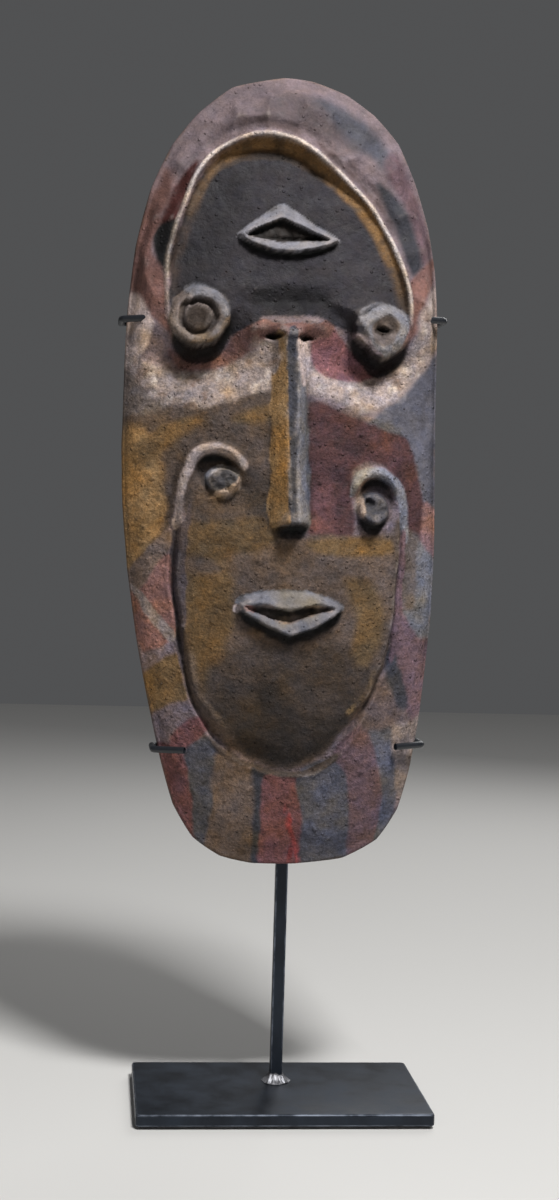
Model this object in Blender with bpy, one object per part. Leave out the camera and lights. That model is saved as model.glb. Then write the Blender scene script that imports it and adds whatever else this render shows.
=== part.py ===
"""A carved and painted wooden face mask, held on its steel display stand.

Metres, +Z up. The origin is the middle of the stand's underside. The mask faces -Y.
The mask and the two arms that grip it share one slightly tilted plane, the mask plane.
A place in it is (u, v): u runs across the mask, v runs up it, both from the mask's middle.
"""
import math

import bmesh
import bpy
import numpy as np
from mathutils import Vector

for old in list(bpy.data.objects):
    bpy.data.objects.remove(old, do_unlink=True)

MM = 0.001

# ---------------------------------------------------------------- driving sizes
MASK_WIDTH = 207 * MM
MASK_HEIGHT = 510 * MM
MASK_EDGE = 22 * MM          # thickness of the board at its edge
MASK_DOME = 22 * MM          # how far the middle of the face stands in front of its edge
MASK_WALL = 17 * MM          # wood left between the face and the hollow behind it
BACK_LAND = 17 * MM          # flat border round the hollow
BACK_INSET = 3 * MM          # how much smaller the back is than the front, all round
EDGE_ROUND = 2 * MM          # the front edge is eased off by this much
MASK_TILT = math.radians(2)  # lean of the mask plane, anticlockwise seen from the front
MASK_SHIFT = -12 * MM        # the mask's middle is this far to the side of the post
CHIN_RISE = 150 * MM         # from the base plate up to the chin

FELT_THICKNESS = 1.5 * MM
FELT_INSET = 2.5 * MM
BASE_WIDTH = 190 * MM
BASE_DEPTH = 120 * MM
BASE_THICKNESS = 8 * MM
BASE_CORNER = 3 * MM
BASE_EDGE = 1.6 * MM

POST_SIZE = 8 * MM           # square tube
POST_WALL = 1.2 * MM
POST_BACK = 14 * MM          # the post stands this far behind the middle of the base
SPIGOT_LENGTH = 70 * MM      # length of the spine inside the post
COLLAR_HEIGHT = 6 * MM
COLLAR_TO_ARM = 14 * MM      # from the stop collar up to the lower arm
SPINE_ABOVE_ARM = 12 * MM
WELD_HEIGHT = 6 * MM
WELD_REACH = 6 * MM

ROD_DIAMETER = 3 * MM
SLEEVE_WALL = 0.4 * MM
ARM_BEND = 5 * MM
HOOK_BEND = 4 * MM
UPPER_ARM_AT = 0.386         # height of an arm in the mask plane, as a share of half the mask
LOWER_ARM_AT = -0.696
HOOK_REACH = {"upper_left": 12 * MM, "upper_right": 12 * MM, "lower_left": 16 * MM, "lower_right": 15 * MM}
PAD_THICKNESS = 1.2 * MM
PAD_WIDTH = 10 * MM
PAD_HEIGHT = 7 * MM

GAP = 0.3 * MM               # air left between pieces that touch or slide
HOOK_CLEARANCE = 1.0 * MM    # between a sleeve and the wood

# ---------------------------------------------------------------- sizes that follow from them
HALF_WIDTH = MASK_WIDTH / 2
HALF_HEIGHT = MASK_HEIGHT / 2
ROD_RADIUS = ROD_DIAMETER / 2
SLEEVE_INNER = ROD_RADIUS + GAP
SLEEVE_OUTER = SLEEVE_INNER + SLEEVE_WALL
SPINE_SIZE = POST_SIZE - 2 * POST_WALL - 2 * GAP
PLATE_BOTTOM = FELT_THICKNESS + GAP
PLATE_TOP = PLATE_BOTTOM + BASE_THICKNESS
MASK_MIDDLE = PLATE_TOP + CHIN_RISE + HALF_HEIGHT
SPINE_FRONT = POST_BACK - SPINE_SIZE / 2
ARM_Y = SPINE_FRONT - 0.7 * MM - ROD_RADIUS
MASK_BACK_Y = ARM_Y - ROD_RADIUS - 2 * GAP - PAD_THICKNESS
MASK_EDGE_Y = MASK_BACK_Y - MASK_EDGE

# The outline of the board, in shares of half its width and half its height, clockwise from the top.
OUTLINE = [
    (0.04, 1.000), (0.23, 0.992), (0.44, 0.960), (0.62, 0.908), (0.77, 0.837), (0.88, 0.732),
    (0.955, 0.625), (1.000, 0.510), (1.013, 0.370), (1.003, 0.190), (0.995, 0.000), (0.988, -0.195),
    (0.962, -0.370), (0.920, -0.520), (0.880, -0.645), (0.822, -0.765), (0.745, -0.865),
    (0.610, -0.942), (0.390, -0.988), (0.080, -1.000), (-0.190, -0.996), (-0.390, -0.975),
    (-0.560, -0.925), (-0.680, -0.840), (-0.752, -0.732), (-0.836, -0.568), (-0.900, -0.418),
    (-0.952, -0.243), (-0.980, -0.078), (-0.982, 0.060), (-0.965, 0.243), (-0.938, 0.412),
    (-0.884, 0.572), (-0.786, 0.718), (-0.656, 0.826), (-0.490, 0.908), (-0.270, 0.975),
]

# Carved lines, in the same shares.
SHIELD = [
    (-0.70, 0.39), (-0.69, 0.54), (-0.59, 0.68), (-0.41, 0.80), (-0.13, 0.845), (0.15, 0.82),
    (0.42, 0.73), (0.66, 0.60), (0.79, 0.47), (0.80, 0.36), (0.70, 0.30), (0.58, 0.32),
    (0.44, 0.37), (0.22, 0.365), (0.0, 0.375), (-0.16, 0.37), (-0.30, 0.34), (-0.50, 0.305), (-0.66, 0.34),
]
LOWER_FACE = [
    (-0.62, 0.02), (-0.67, -0.12), (-0.68, -0.32), (-0.60, -0.53), (-0.45, -0.66), (-0.15, -0.745),
    (0.20, -0.74), (0.42, -0.67), (0.58, -0.54), (0.70, -0.38), (0.745, -0.20), (0.72, -0.04),
    (0.40, -0.03), (-0.20, 0.0),
]
UPPER_LIPS = [(-0.29, 0.59), (0.02, 0.672), (0.38, 0.575), (0.09, 0.545), (-0.14, 0.553)]
UPPER_MOUTH = [(-0.22, 0.587), (0.01, 0.630), (0.29, 0.574), (0.04, 0.570)]
LOWER_LIPS = [(-0.31, -0.335), (-0.10, -0.295), (0.18, -0.298), (0.39, -0.345), (0.20, -0.395), (0.03, -0.410), (-0.12, -0.388)]
LOWER_MOUTH = [(-0.22, -0.338), (0.03, -0.350), (0.30, -0.345), (0.03, -0.372)]
SCROLLS = [(-0.51, 0.388, 20 * MM), (0.645, 0.348, 17 * MM), (-0.37, -0.025, 20 * MM), (0.57, -0.085, 19 * MM)]
NOSE_TOP = (0.06, 0.335)
NOSE_TIP = (0.055, -0.128)

SHIELD_SINK = 6 * MM         # depth of the forehead panel at its top
SHIELD_RISE = 10 * MM        # height of the brow above the cheeks
RIM_HEIGHT = 3.5 * MM
LIP_HEIGHT = 6 * MM
MOUTH_DEPTH = 5 * MM
SCROLL_HEIGHT = 4 * MM
FACE_RISE = 4 * MM
NOSE_HEIGHT = 15 * MM
NOSE_WIDTH = 20 * MM

GRID_ACROSS = 32
GRID_UP = 78


# ---------------------------------------------------------------- small helpers
def material(name, colour, roughness, metallic=0.0):
    made = bpy.data.materials.new(name)
    made.use_nodes = True
    shader = made.node_tree.nodes["Principled BSDF"]
    shader.inputs["Base Color"].default_value = (*colour, 1)
    shader.inputs["Roughness"].default_value = roughness
    shader.inputs["Metallic"].default_value = metallic
    return made


PAINTED_WOOD = material("painted_wood", (0.20, 0.13, 0.08), 0.85)
BLACK_STEEL = material("black_steel", (0.02, 0.02, 0.025), 0.4, 0.6)
BARE_WELD = material("bare_weld", (0.35, 0.36, 0.38), 0.45, 0.9)
SHRINK_SLEEVE = material("shrink_sleeve", (0.012, 0.012, 0.014), 0.3)
GREY_FELT = material("grey_felt", (0.05, 0.05, 0.055), 0.95)


def new_object(name, mesh_maker, surface, smooth=False):
    """Turns a filled bmesh into a named object with outward faces."""
    bmesh.ops.recalc_face_normals(mesh_maker, faces=mesh_maker.faces)
    mesh = bpy.data.meshes.new(name)
    mesh_maker.to_mesh(mesh)
    mesh_maker.free()
    mesh.materials.append(surface)
    if smooth:
        mesh.shade_smooth()
        mesh.set_sharp_from_angle(angle=math.radians(35))
    made = bpy.data.objects.new(name, mesh)
    bpy.context.collection.objects.link(made)
    return made


def in_plane(u, y, v):
    """A place in the mask plane, in world metres."""
    x = MASK_SHIFT + u * math.cos(MASK_TILT) - v * math.sin(MASK_TILT)
    z = MASK_MIDDLE + u * math.sin(MASK_TILT) + v * math.cos(MASK_TILT)
    return Vector((x, y, z))


def block(low, high):
    """A bmesh box between two corners."""
    made = bmesh.new()
    bmesh.ops.create_cube(made, size=1)
    size = [h - l for l, h in zip(low, high)]
    middle = [(h + l) / 2 for l, h in zip(low, high)]
    bmesh.ops.scale(made, vec=size, verts=made.verts)
    bmesh.ops.translate(made, vec=middle, verts=made.verts)
    return made


def bevel_edges(made, wanted, width, segments):
    edges = [edge for edge in made.edges if wanted(edge)]
    bmesh.ops.bevel(made, geom=edges, offset=width, segments=segments, profile=0.5, affect="EDGES")


def is_upright(edge):
    return abs((edge.verts[0].co - edge.verts[1].co).normalized().z) > 0.9


def add_loop(made, points):
    return [made.verts.new(point) for point in points]


def skin(made, loops, closed_path=False):
    """Joins loops of equal length with quads, end to start too on a closed path."""
    pairs = list(zip(loops, loops[1:]))
    if closed_path:
        pairs.append((loops[-1], loops[0]))
    for one, two in pairs:
        count = len(one)
        for k in range(count):
            n = (k + 1) % count
            made.faces.new((one[k], one[n], two[n], two[k]))


# ---------------------------------------------------------------- the board's outline
def smooth_closed(points, steps):
    """A closed Catmull-Rom curve through the points."""
    points = np.array(points, float)
    count = len(points)
    t = np.linspace(0, 1, steps, endpoint=False)[:, None]
    spans = []
    for k in range(count):
        a, b, c, d = (points[(k + n) % count] for n in (-1, 0, 1, 2))
        spans.append(0.5 * (2 * b + (c - a) * t + (2 * a - 5 * b + 4 * c - d) * t**2
                            + (3 * b - a - 3 * c + d) * t**3))
    return np.concatenate(spans)


def outline_reach():
    """The outline as a radius for each angle, in shares of half the width and height."""
    curve = smooth_closed(OUTLINE, 8)
    angle = np.arctan2(curve[:, 1], curve[:, 0])
    order = np.argsort(angle)
    radius = np.hypot(curve[:, 0], curve[:, 1])
    return angle[order], radius[order]


REACH_ANGLE, REACH_RADIUS = outline_reach()


def reach(angle):
    return np.interp(angle, REACH_ANGLE, REACH_RADIUS, period=2 * math.pi)


def edge_at(v, side):
    """How far across the board's edge is at a height v, on the left (-1) or the right (1)."""
    curve = smooth_closed(OUTLINE, 8)
    half = curve[curve[:, 0] * side > 0]
    order = np.argsort(half[:, 1])
    return HALF_WIDTH * float(np.interp(v / HALF_HEIGHT, half[order, 1], half[order, 0]))


# ---------------------------------------------------------------- the carved face
def ramp(value, start, end):
    """0 before start, 1 after end, smooth between."""
    t = np.clip((value - start) / (end - start), 0, 1)
    return t * t * (3 - 2 * t)


def inside_by(u, v, shape, rounded=True):
    """Distance inside a closed shape, negative outside it, in metres."""
    curve = smooth_closed(shape, 6) if rounded else np.array(shape, float)
    curve = curve * (HALF_WIDTH, HALF_HEIGHT)
    ahead = np.roll(curve, -1, axis=0)
    nearest = np.full(u.shape, np.inf)
    inside = np.zeros(u.shape, bool)
    for (ax, ay), (bx, by) in zip(curve, ahead):
        along = ((u - ax) * (bx - ax) + (v - ay) * (by - ay)) / ((bx - ax)**2 + (by - ay)**2)
        along = np.clip(along, 0, 1)
        gap = np.hypot(u - ax - along * (bx - ax), v - ay - along * (by - ay))
        nearest = np.minimum(nearest, gap)
        if ay != by:
            crosses = ((ay > v) != (by > v)) & (u < (bx - ax) * (v - ay) / (by - ay) + ax)
            inside ^= crosses
    return np.where(inside, nearest, -nearest)


def forehead_panel(u, v):
    """Sunk at the top behind its rim, and standing proud at the brow."""
    depth = inside_by(u, v, SHIELD)
    high = 0.84 * HALF_HEIGHT
    low = 0.33 * HALF_HEIGHT
    slope = -SHIELD_SINK + (SHIELD_SINK + SHIELD_RISE) * np.clip((high - v) / (high - low), 0, 1)
    rim = RIM_HEIGHT * np.exp(-(depth / (4 * MM))**2) * ramp(v, low, 0.5 * HALF_HEIGHT)
    return slope * ramp(depth, 0, 6 * MM) + rim


def lips(u, v, outer, opening):
    raised = LIP_HEIGHT * ramp(inside_by(u, v, outer, False), -4 * MM, 4 * MM)
    cut = (LIP_HEIGHT + MOUTH_DEPTH) * ramp(inside_by(u, v, opening, False), -4 * MM, 4 * MM)
    return raised - cut


def scroll(u, v, middle_u, middle_v, radius):
    """A round crest with a knob inside it."""
    distance = np.hypot(u - middle_u * HALF_WIDTH, v - middle_v * HALF_HEIGHT)
    crest = np.exp(-((distance - 0.8 * radius) / (4 * MM))**2)
    knob = np.exp(-(distance / (0.38 * radius))**2)
    return SCROLL_HEIGHT * np.maximum(crest, knob)


def nose(u, v):
    """A straight ridge, higher and wider towards its tip."""
    top = NOSE_TOP[1] * HALF_HEIGHT
    tip = NOSE_TIP[1] * HALF_HEIGHT
    along = np.clip((top - v) / (top - tip), 0, 1)
    middle = (NOSE_TOP[0] + (NOSE_TIP[0] - NOSE_TOP[0]) * along) * HALF_WIDTH
    half = NOSE_WIDTH / 2 * (0.8 + 0.3 * along)
    across = np.clip(1.2 - np.abs(u - middle) / half, 0, 1)
    ends = ramp(v, tip - 6 * MM, tip + 1 * MM) * (1 - ramp(v, top, top + 8 * MM))
    return NOSE_HEIGHT * (0.45 + 0.55 * along) * np.minimum(1, 1.5 * across) * ends


def relief(u, v):
    """Height of the carving over the plain dome."""
    face = FACE_RISE * ramp(inside_by(u, v, LOWER_FACE), 0, 9 * MM)
    height = forehead_panel(u, v) + face + nose(u, v)
    height = height + lips(u, v, UPPER_LIPS, UPPER_MOUTH) + lips(u, v, LOWER_LIPS, LOWER_MOUTH)
    for middle_u, middle_v, radius in SCROLLS:
        height = height + scroll(u, v, middle_u, middle_v, radius)
    return height


def board_grid():
    """A square grid bent to fill the outline. Returns u, v and the share of the way to the edge."""
    x, y = np.meshgrid(np.linspace(-1, 1, GRID_ACROSS + 1), np.linspace(-1, 1, GRID_UP + 1))
    disc_x = x * np.sqrt(1 - y * y / 2)
    disc_y = y * np.sqrt(1 - x * x / 2)
    share = np.hypot(disc_x, disc_y)
    angle = np.arctan2(disc_y, disc_x)
    radius = share * reach(angle)
    front_width = HALF_WIDTH - EDGE_ROUND
    front_height = HALF_HEIGHT - EDGE_ROUND
    return front_width * radius * np.cos(angle), front_height * radius * np.sin(angle), share


def board_loop(inset, y):
    """The outline drawn in by a distance, at the depth y, starting where the grid's edge starts."""
    u, v, _ = board_grid()
    rim = grid_edge()
    points = []
    for row, column in rim:
        shrink_u = (HALF_WIDTH - inset) / (HALF_WIDTH - EDGE_ROUND)
        shrink_v = (HALF_HEIGHT - inset) / (HALF_HEIGHT - EDGE_ROUND)
        points.append(in_plane(u[row, column] * shrink_u, y, v[row, column] * shrink_v))
    return points


def grid_edge():
    """Row and column of the grid's edge points, in order round the board."""
    bottom = [(0, c) for c in range(GRID_ACROSS)]
    right = [(r, GRID_ACROSS) for r in range(GRID_UP)]
    top = [(GRID_UP, c) for c in range(GRID_ACROSS, 0, -1)]
    left = [(r, 0) for r in range(GRID_UP, 0, -1)]
    return bottom + right + top + left


def hollow_floor(share):
    """How deep the back is cut at a share of the way from the hollow's middle to its edge."""
    deepest = MASK_EDGE + MASK_DOME - MASK_WALL - SHIELD_SINK
    return deepest * (1 - share**2) ** 0.8


def mask_board():
    u, v, share = board_grid()
    y = MASK_EDGE_Y - MASK_DOME * (1 - share**2) - relief(u, v) * ramp(1 - share, 0, 0.08)
    made = bmesh.new()
    rows, columns = u.shape
    front = [[made.verts.new(in_plane(u[r, c], y[r, c], v[r, c])) for c in range(columns)]
             for r in range(rows)]
    for r in range(rows - 1):
        for c in range(columns - 1):
            made.faces.new((front[r][c], front[r][c + 1], front[r + 1][c + 1], front[r + 1][c]))
    loops = [[front[r][c] for r, c in grid_edge()]]
    loops.append(add_loop(made, board_loop(0, MASK_EDGE_Y + EDGE_ROUND)))
    loops.append(add_loop(made, board_loop(BACK_INSET, MASK_BACK_Y)))
    for hollow_share in (1.0, 0.9, 0.7, 0.45, 0.2):
        inset = BACK_INSET + BACK_LAND + (HALF_WIDTH - BACK_INSET - BACK_LAND) * (1 - hollow_share)
        loops.append(add_loop(made, board_loop(inset, MASK_BACK_Y - hollow_floor(hollow_share))))
    skin(made, loops)
    made.faces.new(loops[-1])
    bmesh.ops.triangulate(made, faces=made.faces)
    return new_object("mask_board", made, PAINTED_WOOD, smooth=True)


# ---------------------------------------------------------------- the stand
def base_felt():
    half_width = BASE_WIDTH / 2 - FELT_INSET
    half_depth = BASE_DEPTH / 2 - FELT_INSET
    made = block((-half_width, -half_depth, 0), (half_width, half_depth, FELT_THICKNESS))
    bevel_edges(made, is_upright, BASE_CORNER, 3)
    new_object("base_felt", made, GREY_FELT)


def base_plate():
    made = block((-BASE_WIDTH / 2, -BASE_DEPTH / 2, PLATE_BOTTOM), (BASE_WIDTH / 2, BASE_DEPTH / 2, PLATE_TOP))
    bevel_edges(made, is_upright, BASE_CORNER, 4)
    bevel_edges(made, lambda edge: all(v.co.z > PLATE_TOP - GAP for v in edge.verts), BASE_EDGE, 3)
    new_object("base_plate", made, BLACK_STEEL)


def square_loop(made, half, z):
    corners = [(-half, -half), (half, -half), (half, half), (-half, half)]
    return add_loop(made, [(x, POST_BACK + y, z) for x, y in corners])


def square_tube(name, inner, outer, low, high, surface):
    """A square tube standing on the post's axis, open at both ends."""
    made = bmesh.new()
    loops = [square_loop(made, half, z) for half, z in ((outer, low), (outer, high), (inner, high), (inner, low))]
    skin(made, loops, closed_path=True)
    return new_object(name, made, surface)


def arm_height(at):
    """World height at which an arm crosses the spine."""
    v = at * HALF_HEIGHT
    u = arm_crossing(v)
    return in_plane(u, 0, v).z


def arm_crossing(v):
    """Place across the mask plane, at a height v, that lies on the post's axis."""
    return (-MASK_SHIFT + v * math.sin(MASK_TILT)) / math.cos(MASK_TILT)


COLLAR_TOP = arm_height(LOWER_ARM_AT) - COLLAR_TO_ARM
POST_TOP = COLLAR_TOP - COLLAR_HEIGHT - GAP


def post():
    half = POST_SIZE / 2
    square_tube("post", half - POST_WALL, half, PLATE_TOP + GAP, POST_TOP, BLACK_STEEL)


def stop_collar():
    square_tube("stop_collar", SPINE_SIZE / 2 + GAP, POST_SIZE / 2, POST_TOP + GAP, COLLAR_TOP, BLACK_STEEL)


def spine():
    half = SPINE_SIZE / 2
    top = arm_height(UPPER_ARM_AT) + SPINE_ABOVE_ARM
    made = block((-half, POST_BACK - half, POST_TOP - SPIGOT_LENGTH), (half, POST_BACK + half, top))
    new_object("spine", made, BLACK_STEEL)


def foot_weld():
    """An uneven bead round the post's foot."""
    inner = POST_SIZE / 2 + GAP
    low = PLATE_TOP + GAP
    profile = [(0, 0), (1, 0), (0.62, 0.30), (0.25, 0.66), (0, 1)]
    made = bmesh.new()
    loops = []
    for reach_share, height_share in profile:
        points = []
        for k in range(40):
            angle = 2 * math.pi * k / 40
            square = inner / max(abs(math.cos(angle)), abs(math.sin(angle)))
            uneven = 1 + 0.08 * math.sin(3 * angle + 1) + 0.05 * math.sin(7 * angle)
            edge = square * (1 - reach_share) + (inner + WELD_REACH * uneven) * reach_share
            z = low + WELD_HEIGHT * height_share * uneven
            points.append((edge * math.cos(angle), POST_BACK + edge * math.sin(angle), z))
        loops.append(add_loop(made, points))
    skin(made, loops, closed_path=True)
    new_object("foot_weld", made, BARE_WELD, smooth=True)


# ---------------------------------------------------------------- the arms that grip the mask
def round_corner(before, corner, after, radius, steps):
    """Points of an arc that rounds a corner of a path."""
    to_before = (before - corner).normalized()
    to_after = (after - corner).normalized()
    half_angle = to_before.angle(to_after) / 2
    start = corner + to_before * radius / math.tan(half_angle)
    centre = corner + (to_before + to_after).normalized() * radius / math.sin(half_angle)
    first = start - centre
    axis = first.cross(to_before).normalized()
    sweep = math.pi - 2 * half_angle
    turn = []
    for k in range(steps + 1):
        angle = -sweep * k / steps
        turn.append(centre + first * math.cos(angle) + axis.cross(first) * math.sin(angle))
    return turn


def hook_corners(v, side, reach_in):
    """Back corner, front corner and tip of one hook, as (u, y)."""
    edge = edge_at(v, side)
    outer = edge + side * (HOOK_CLEARANCE + SLEEVE_OUTER)
    slope = 2 * MASK_DOME / abs(edge)
    lift = (HOOK_CLEARANCE + SLEEVE_OUTER) * math.hypot(1, slope)
    level = MASK_EDGE_Y - lift
    front = level + slope * abs(outer - edge)
    tip_u = edge - side * reach_in
    return Vector((outer, ARM_Y)), Vector((outer, front)), Vector((tip_u, level - slope * reach_in))


def half_arm(v, side, reach_in):
    """Path from the middle of an arm out to one hook's tip, as (u, y)."""
    corner, front, tip = hook_corners(v, side, reach_in)
    middle = Vector((arm_crossing(v), ARM_Y))
    bend = round_corner(middle.to_3d(), corner.to_3d(), front.to_3d(), ARM_BEND, 5)
    hook = round_corner(corner.to_3d(), front.to_3d(), tip.to_3d(), HOOK_BEND, 5)
    return bend, hook + [tip.to_3d()]


def tube(path, radii, sides):
    """Rings of points along a path, one set for each radius."""
    rings = [[] for _ in radii]
    for k, point in enumerate(path):
        before = path[max(k - 1, 0)]
        after = path[min(k + 1, len(path) - 1)]
        along = (after - before).normalized()
        across = along.cross(in_plane(0, 0, 1) - in_plane(0, 0, 0)).normalized()
        up = across.cross(along)
        for ring, radius in zip(rings, radii):
            angles = [2 * math.pi * n / sides for n in range(sides)]
            ring.append([point + radius * (math.cos(a) * across + math.sin(a) * up) for a in angles])
    return rings


def rod(name, path):
    made = bmesh.new()
    loops = [add_loop(made, ring) for ring in tube(path, [ROD_RADIUS], 10)[0]]
    skin(made, loops)
    made.faces.new(loops[0])
    made.faces.new(loops[-1])
    new_object(name, made, BLACK_STEEL, smooth=True)


def sleeve(name, path):
    made = bmesh.new()
    outer, inner = tube(path, [SLEEVE_OUTER, SLEEVE_INNER], 10)
    loops = [add_loop(made, ring) for ring in outer + inner[::-1]]
    skin(made, loops, closed_path=True)
    new_object(name, made, SHRINK_SLEEVE, smooth=True)


def arm(level, at):
    """One bent rod that holds both edges of the mask, with a sleeve over each hook."""
    v = at * HALF_HEIGHT
    world = lambda points: [in_plane(p.x, p.y, v) for p in points]
    left_bend, left_hook = half_arm(v, -1, HOOK_REACH[level + "_left"])
    right_bend, right_hook = half_arm(v, 1, HOOK_REACH[level + "_right"])
    whole = left_hook[::-1] + left_bend[::-1] + right_bend + right_hook
    rod(level + "_arm", world(whole))
    for side, bend, hook in (("_left", left_bend, left_hook), ("_right", right_bend, right_hook)):
        beyond = hook[-1] + (hook[-1] - hook[-2]).normalized() * 2 * GAP
        sleeve(level + side + "_sleeve", world([bend[-1]] + hook[:-1] + [beyond]))


def arm_weld(level, at, side, name):
    """A bead in the corner between an arm and the spine, above (1) or below (-1) the arm."""
    v = at * HALF_HEIGHT
    u = arm_crossing(v)
    clear = ROD_RADIUS + GAP
    face = SPINE_FRONT - GAP
    arc = [math.radians(a) for a in (20, 50, 80, 110)]
    section = [(ARM_Y + clear * math.cos(a), clear * math.sin(a)) for a in arc]
    section += [(ARM_Y + 0.4 * MM, clear + 1.0 * MM), (face, clear + 2.2 * MM), (face, section[0][1])]
    made = bmesh.new()
    half = SPINE_SIZE / 2
    loops = [add_loop(made, [in_plane(u + end, y, v + side * rise) for y, rise in section])
             for end in (-half, half)]
    skin(made, loops)
    made.faces.new(loops[0])
    made.faces.new(loops[1])
    new_object(level + "_weld_" + name, made, BARE_WELD)


def back_pad(level, at, side, name):
    """A felt pad between an arm and the flat border of the mask's back."""
    v = at * HALF_HEIGHT
    edge = abs(edge_at(v, side)) - BACK_INSET
    middle = side * (edge - BACK_LAND / 2)
    front = MASK_BACK_Y + GAP
    made = block((middle - PAD_WIDTH / 2, front, v - PAD_HEIGHT / 2),
                 (middle + PAD_WIDTH / 2, front + PAD_THICKNESS, v + PAD_HEIGHT / 2))
    for vertex in made.verts:
        vertex.co = in_plane(*vertex.co)
    new_object(level + name + "_pad", made, GREY_FELT)


base_felt()
base_plate()
post()
foot_weld()
spine()
stop_collar()
for arm_level, arm_at in (("upper", UPPER_ARM_AT), ("lower", LOWER_ARM_AT)):
    arm(arm_level, arm_at)
    arm_weld(arm_level, arm_at, 1, "over")
    arm_weld(arm_level, arm_at, -1, "under")
    back_pad(arm_level, arm_at, -1, "_left")
    back_pad(arm_level, arm_at, 1, "_right")
mask_board()
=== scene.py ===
import math

import bpy
import numpy as np
from mathutils import Matrix, Vector


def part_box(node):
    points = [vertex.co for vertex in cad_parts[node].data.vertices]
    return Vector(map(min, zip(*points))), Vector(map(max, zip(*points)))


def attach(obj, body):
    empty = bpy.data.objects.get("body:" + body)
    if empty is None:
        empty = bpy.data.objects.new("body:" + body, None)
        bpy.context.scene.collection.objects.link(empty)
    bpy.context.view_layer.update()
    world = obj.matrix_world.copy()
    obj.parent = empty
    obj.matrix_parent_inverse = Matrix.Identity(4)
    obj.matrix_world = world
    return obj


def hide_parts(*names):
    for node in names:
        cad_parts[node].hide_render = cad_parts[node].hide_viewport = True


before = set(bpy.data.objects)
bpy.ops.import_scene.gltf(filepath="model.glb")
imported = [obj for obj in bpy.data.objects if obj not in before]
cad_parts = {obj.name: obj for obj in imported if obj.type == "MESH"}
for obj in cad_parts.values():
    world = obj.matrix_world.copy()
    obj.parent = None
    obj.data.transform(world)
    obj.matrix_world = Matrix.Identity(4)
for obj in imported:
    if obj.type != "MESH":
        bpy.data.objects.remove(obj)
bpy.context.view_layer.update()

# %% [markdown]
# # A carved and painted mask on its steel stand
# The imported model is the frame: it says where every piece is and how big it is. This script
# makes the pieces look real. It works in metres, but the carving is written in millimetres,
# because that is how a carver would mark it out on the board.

MM = 0.001

# %% [markdown]
# ## The mask plane
# The mask leans two degrees to the left, and the arms behind it lean with it. Everything on the
# mask is laid out in its own plane: u runs across it, v runs up it, both in millimetres from its
# middle. The carved board of the frame is turned upright in numbers, and its size is read there.

# %% The mask plane, read from the frame
TILT = math.radians(2)
EDGE_THICKNESS = 22      # mm, the board at its edge
DOME = 22                # mm, how far the middle stands in front of the edge
EDGE_EASE = 2.2          # mm taken off the front edge all round

# The outline of the board in shares of half its width and height, clockwise from the top.
OUTLINE = [
    (0.04, 1.000), (0.23, 0.992), (0.44, 0.960), (0.62, 0.908), (0.77, 0.837), (0.88, 0.732),
    (0.955, 0.625), (1.000, 0.510), (1.013, 0.370), (1.003, 0.190), (0.995, 0.000), (0.988, -0.195),
    (0.962, -0.370), (0.920, -0.520), (0.880, -0.645), (0.822, -0.765), (0.745, -0.865),
    (0.610, -0.942), (0.390, -0.988), (0.080, -1.000), (-0.190, -0.996), (-0.390, -0.975),
    (-0.560, -0.925), (-0.680, -0.840), (-0.752, -0.732), (-0.836, -0.568), (-0.900, -0.418),
    (-0.952, -0.243), (-0.980, -0.078), (-0.982, 0.060), (-0.965, 0.243), (-0.938, 0.412),
    (-0.884, 0.572), (-0.786, 0.718), (-0.656, 0.826), (-0.490, 0.908), (-0.270, 0.975),
]


def smooth_curve(points, steps, closed=True):
    """A Catmull-Rom curve through the points."""
    points = np.array(points, float)
    count = len(points)
    t = np.linspace(0, 1, steps, endpoint=False)[:, None]
    spans = []
    for k in range(count if closed else count - 1):
        near = [(k + n) % count if closed else min(max(k + n, 0), count - 1) for n in (-1, 0, 1, 2)]
        a, b, c, d = points[near]
        spans.append(0.5 * (2 * b + (c - a) * t + (2 * a - 5 * b + 4 * c - d) * t**2
                            + (3 * b - a - 3 * c + d) * t**3))
    if not closed:
        spans.append(points[-1:])
    return np.concatenate(spans)


STEPS = 8                # points drawn between two corners of the outline
OUTLINE_CURVE = smooth_curve(OUTLINE, STEPS)
cad_board = np.array([v.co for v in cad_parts["mask_board"].data.vertices]) / MM
upright_u = cad_board[:, 0] * math.cos(TILT) + cad_board[:, 2] * math.sin(TILT)
upright_v = -cad_board[:, 0] * math.sin(TILT) + cad_board[:, 2] * math.cos(TILT)
HALF_WIDTH = float(np.ptp(upright_u) / np.ptp(OUTLINE_CURVE[:, 0]))
HALF_HEIGHT = float(np.ptp(upright_v) / np.ptp(OUTLINE_CURVE[:, 1]))
HEWN = 0.55              # the edge was hewn in flats, so it lies between curve and straight cuts
STRAIGHT_CUTS = np.array([
    (1 - k / STEPS) * np.array(a) + k / STEPS * np.array(b)
    for a, b in zip(OUTLINE, OUTLINE[1:] + OUTLINE[:1]) for k in range(STEPS)
])
CUT_CURVE = (1 - HEWN) * OUTLINE_CURVE + HEWN * STRAIGHT_CUTS
MIDDLE_U = float(upright_u.max() - HALF_WIDTH * OUTLINE_CURVE[:, 0].max())
MIDDLE_V = float(upright_v.max() - HALF_HEIGHT * OUTLINE_CURVE[:, 1].max())
BACK_Y = float(cad_board[:, 1].max())
EDGE_Y = BACK_Y - EDGE_THICKNESS
print("mask, mm:", round(2 * HALF_WIDTH, 1), "wide,", round(2 * HALF_HEIGHT, 1), "tall")


def to_world(u, y, v):
    """Places in the mask plane, in mm, as world places in metres."""
    u = np.asarray(u) + MIDDLE_U
    v = np.asarray(v) + MIDDLE_V
    x = u * math.cos(TILT) - v * math.sin(TILT)
    z = u * math.sin(TILT) + v * math.cos(TILT)
    return np.stack([x, np.asarray(y) + 0 * x, z], axis=-1) * MM


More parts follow.
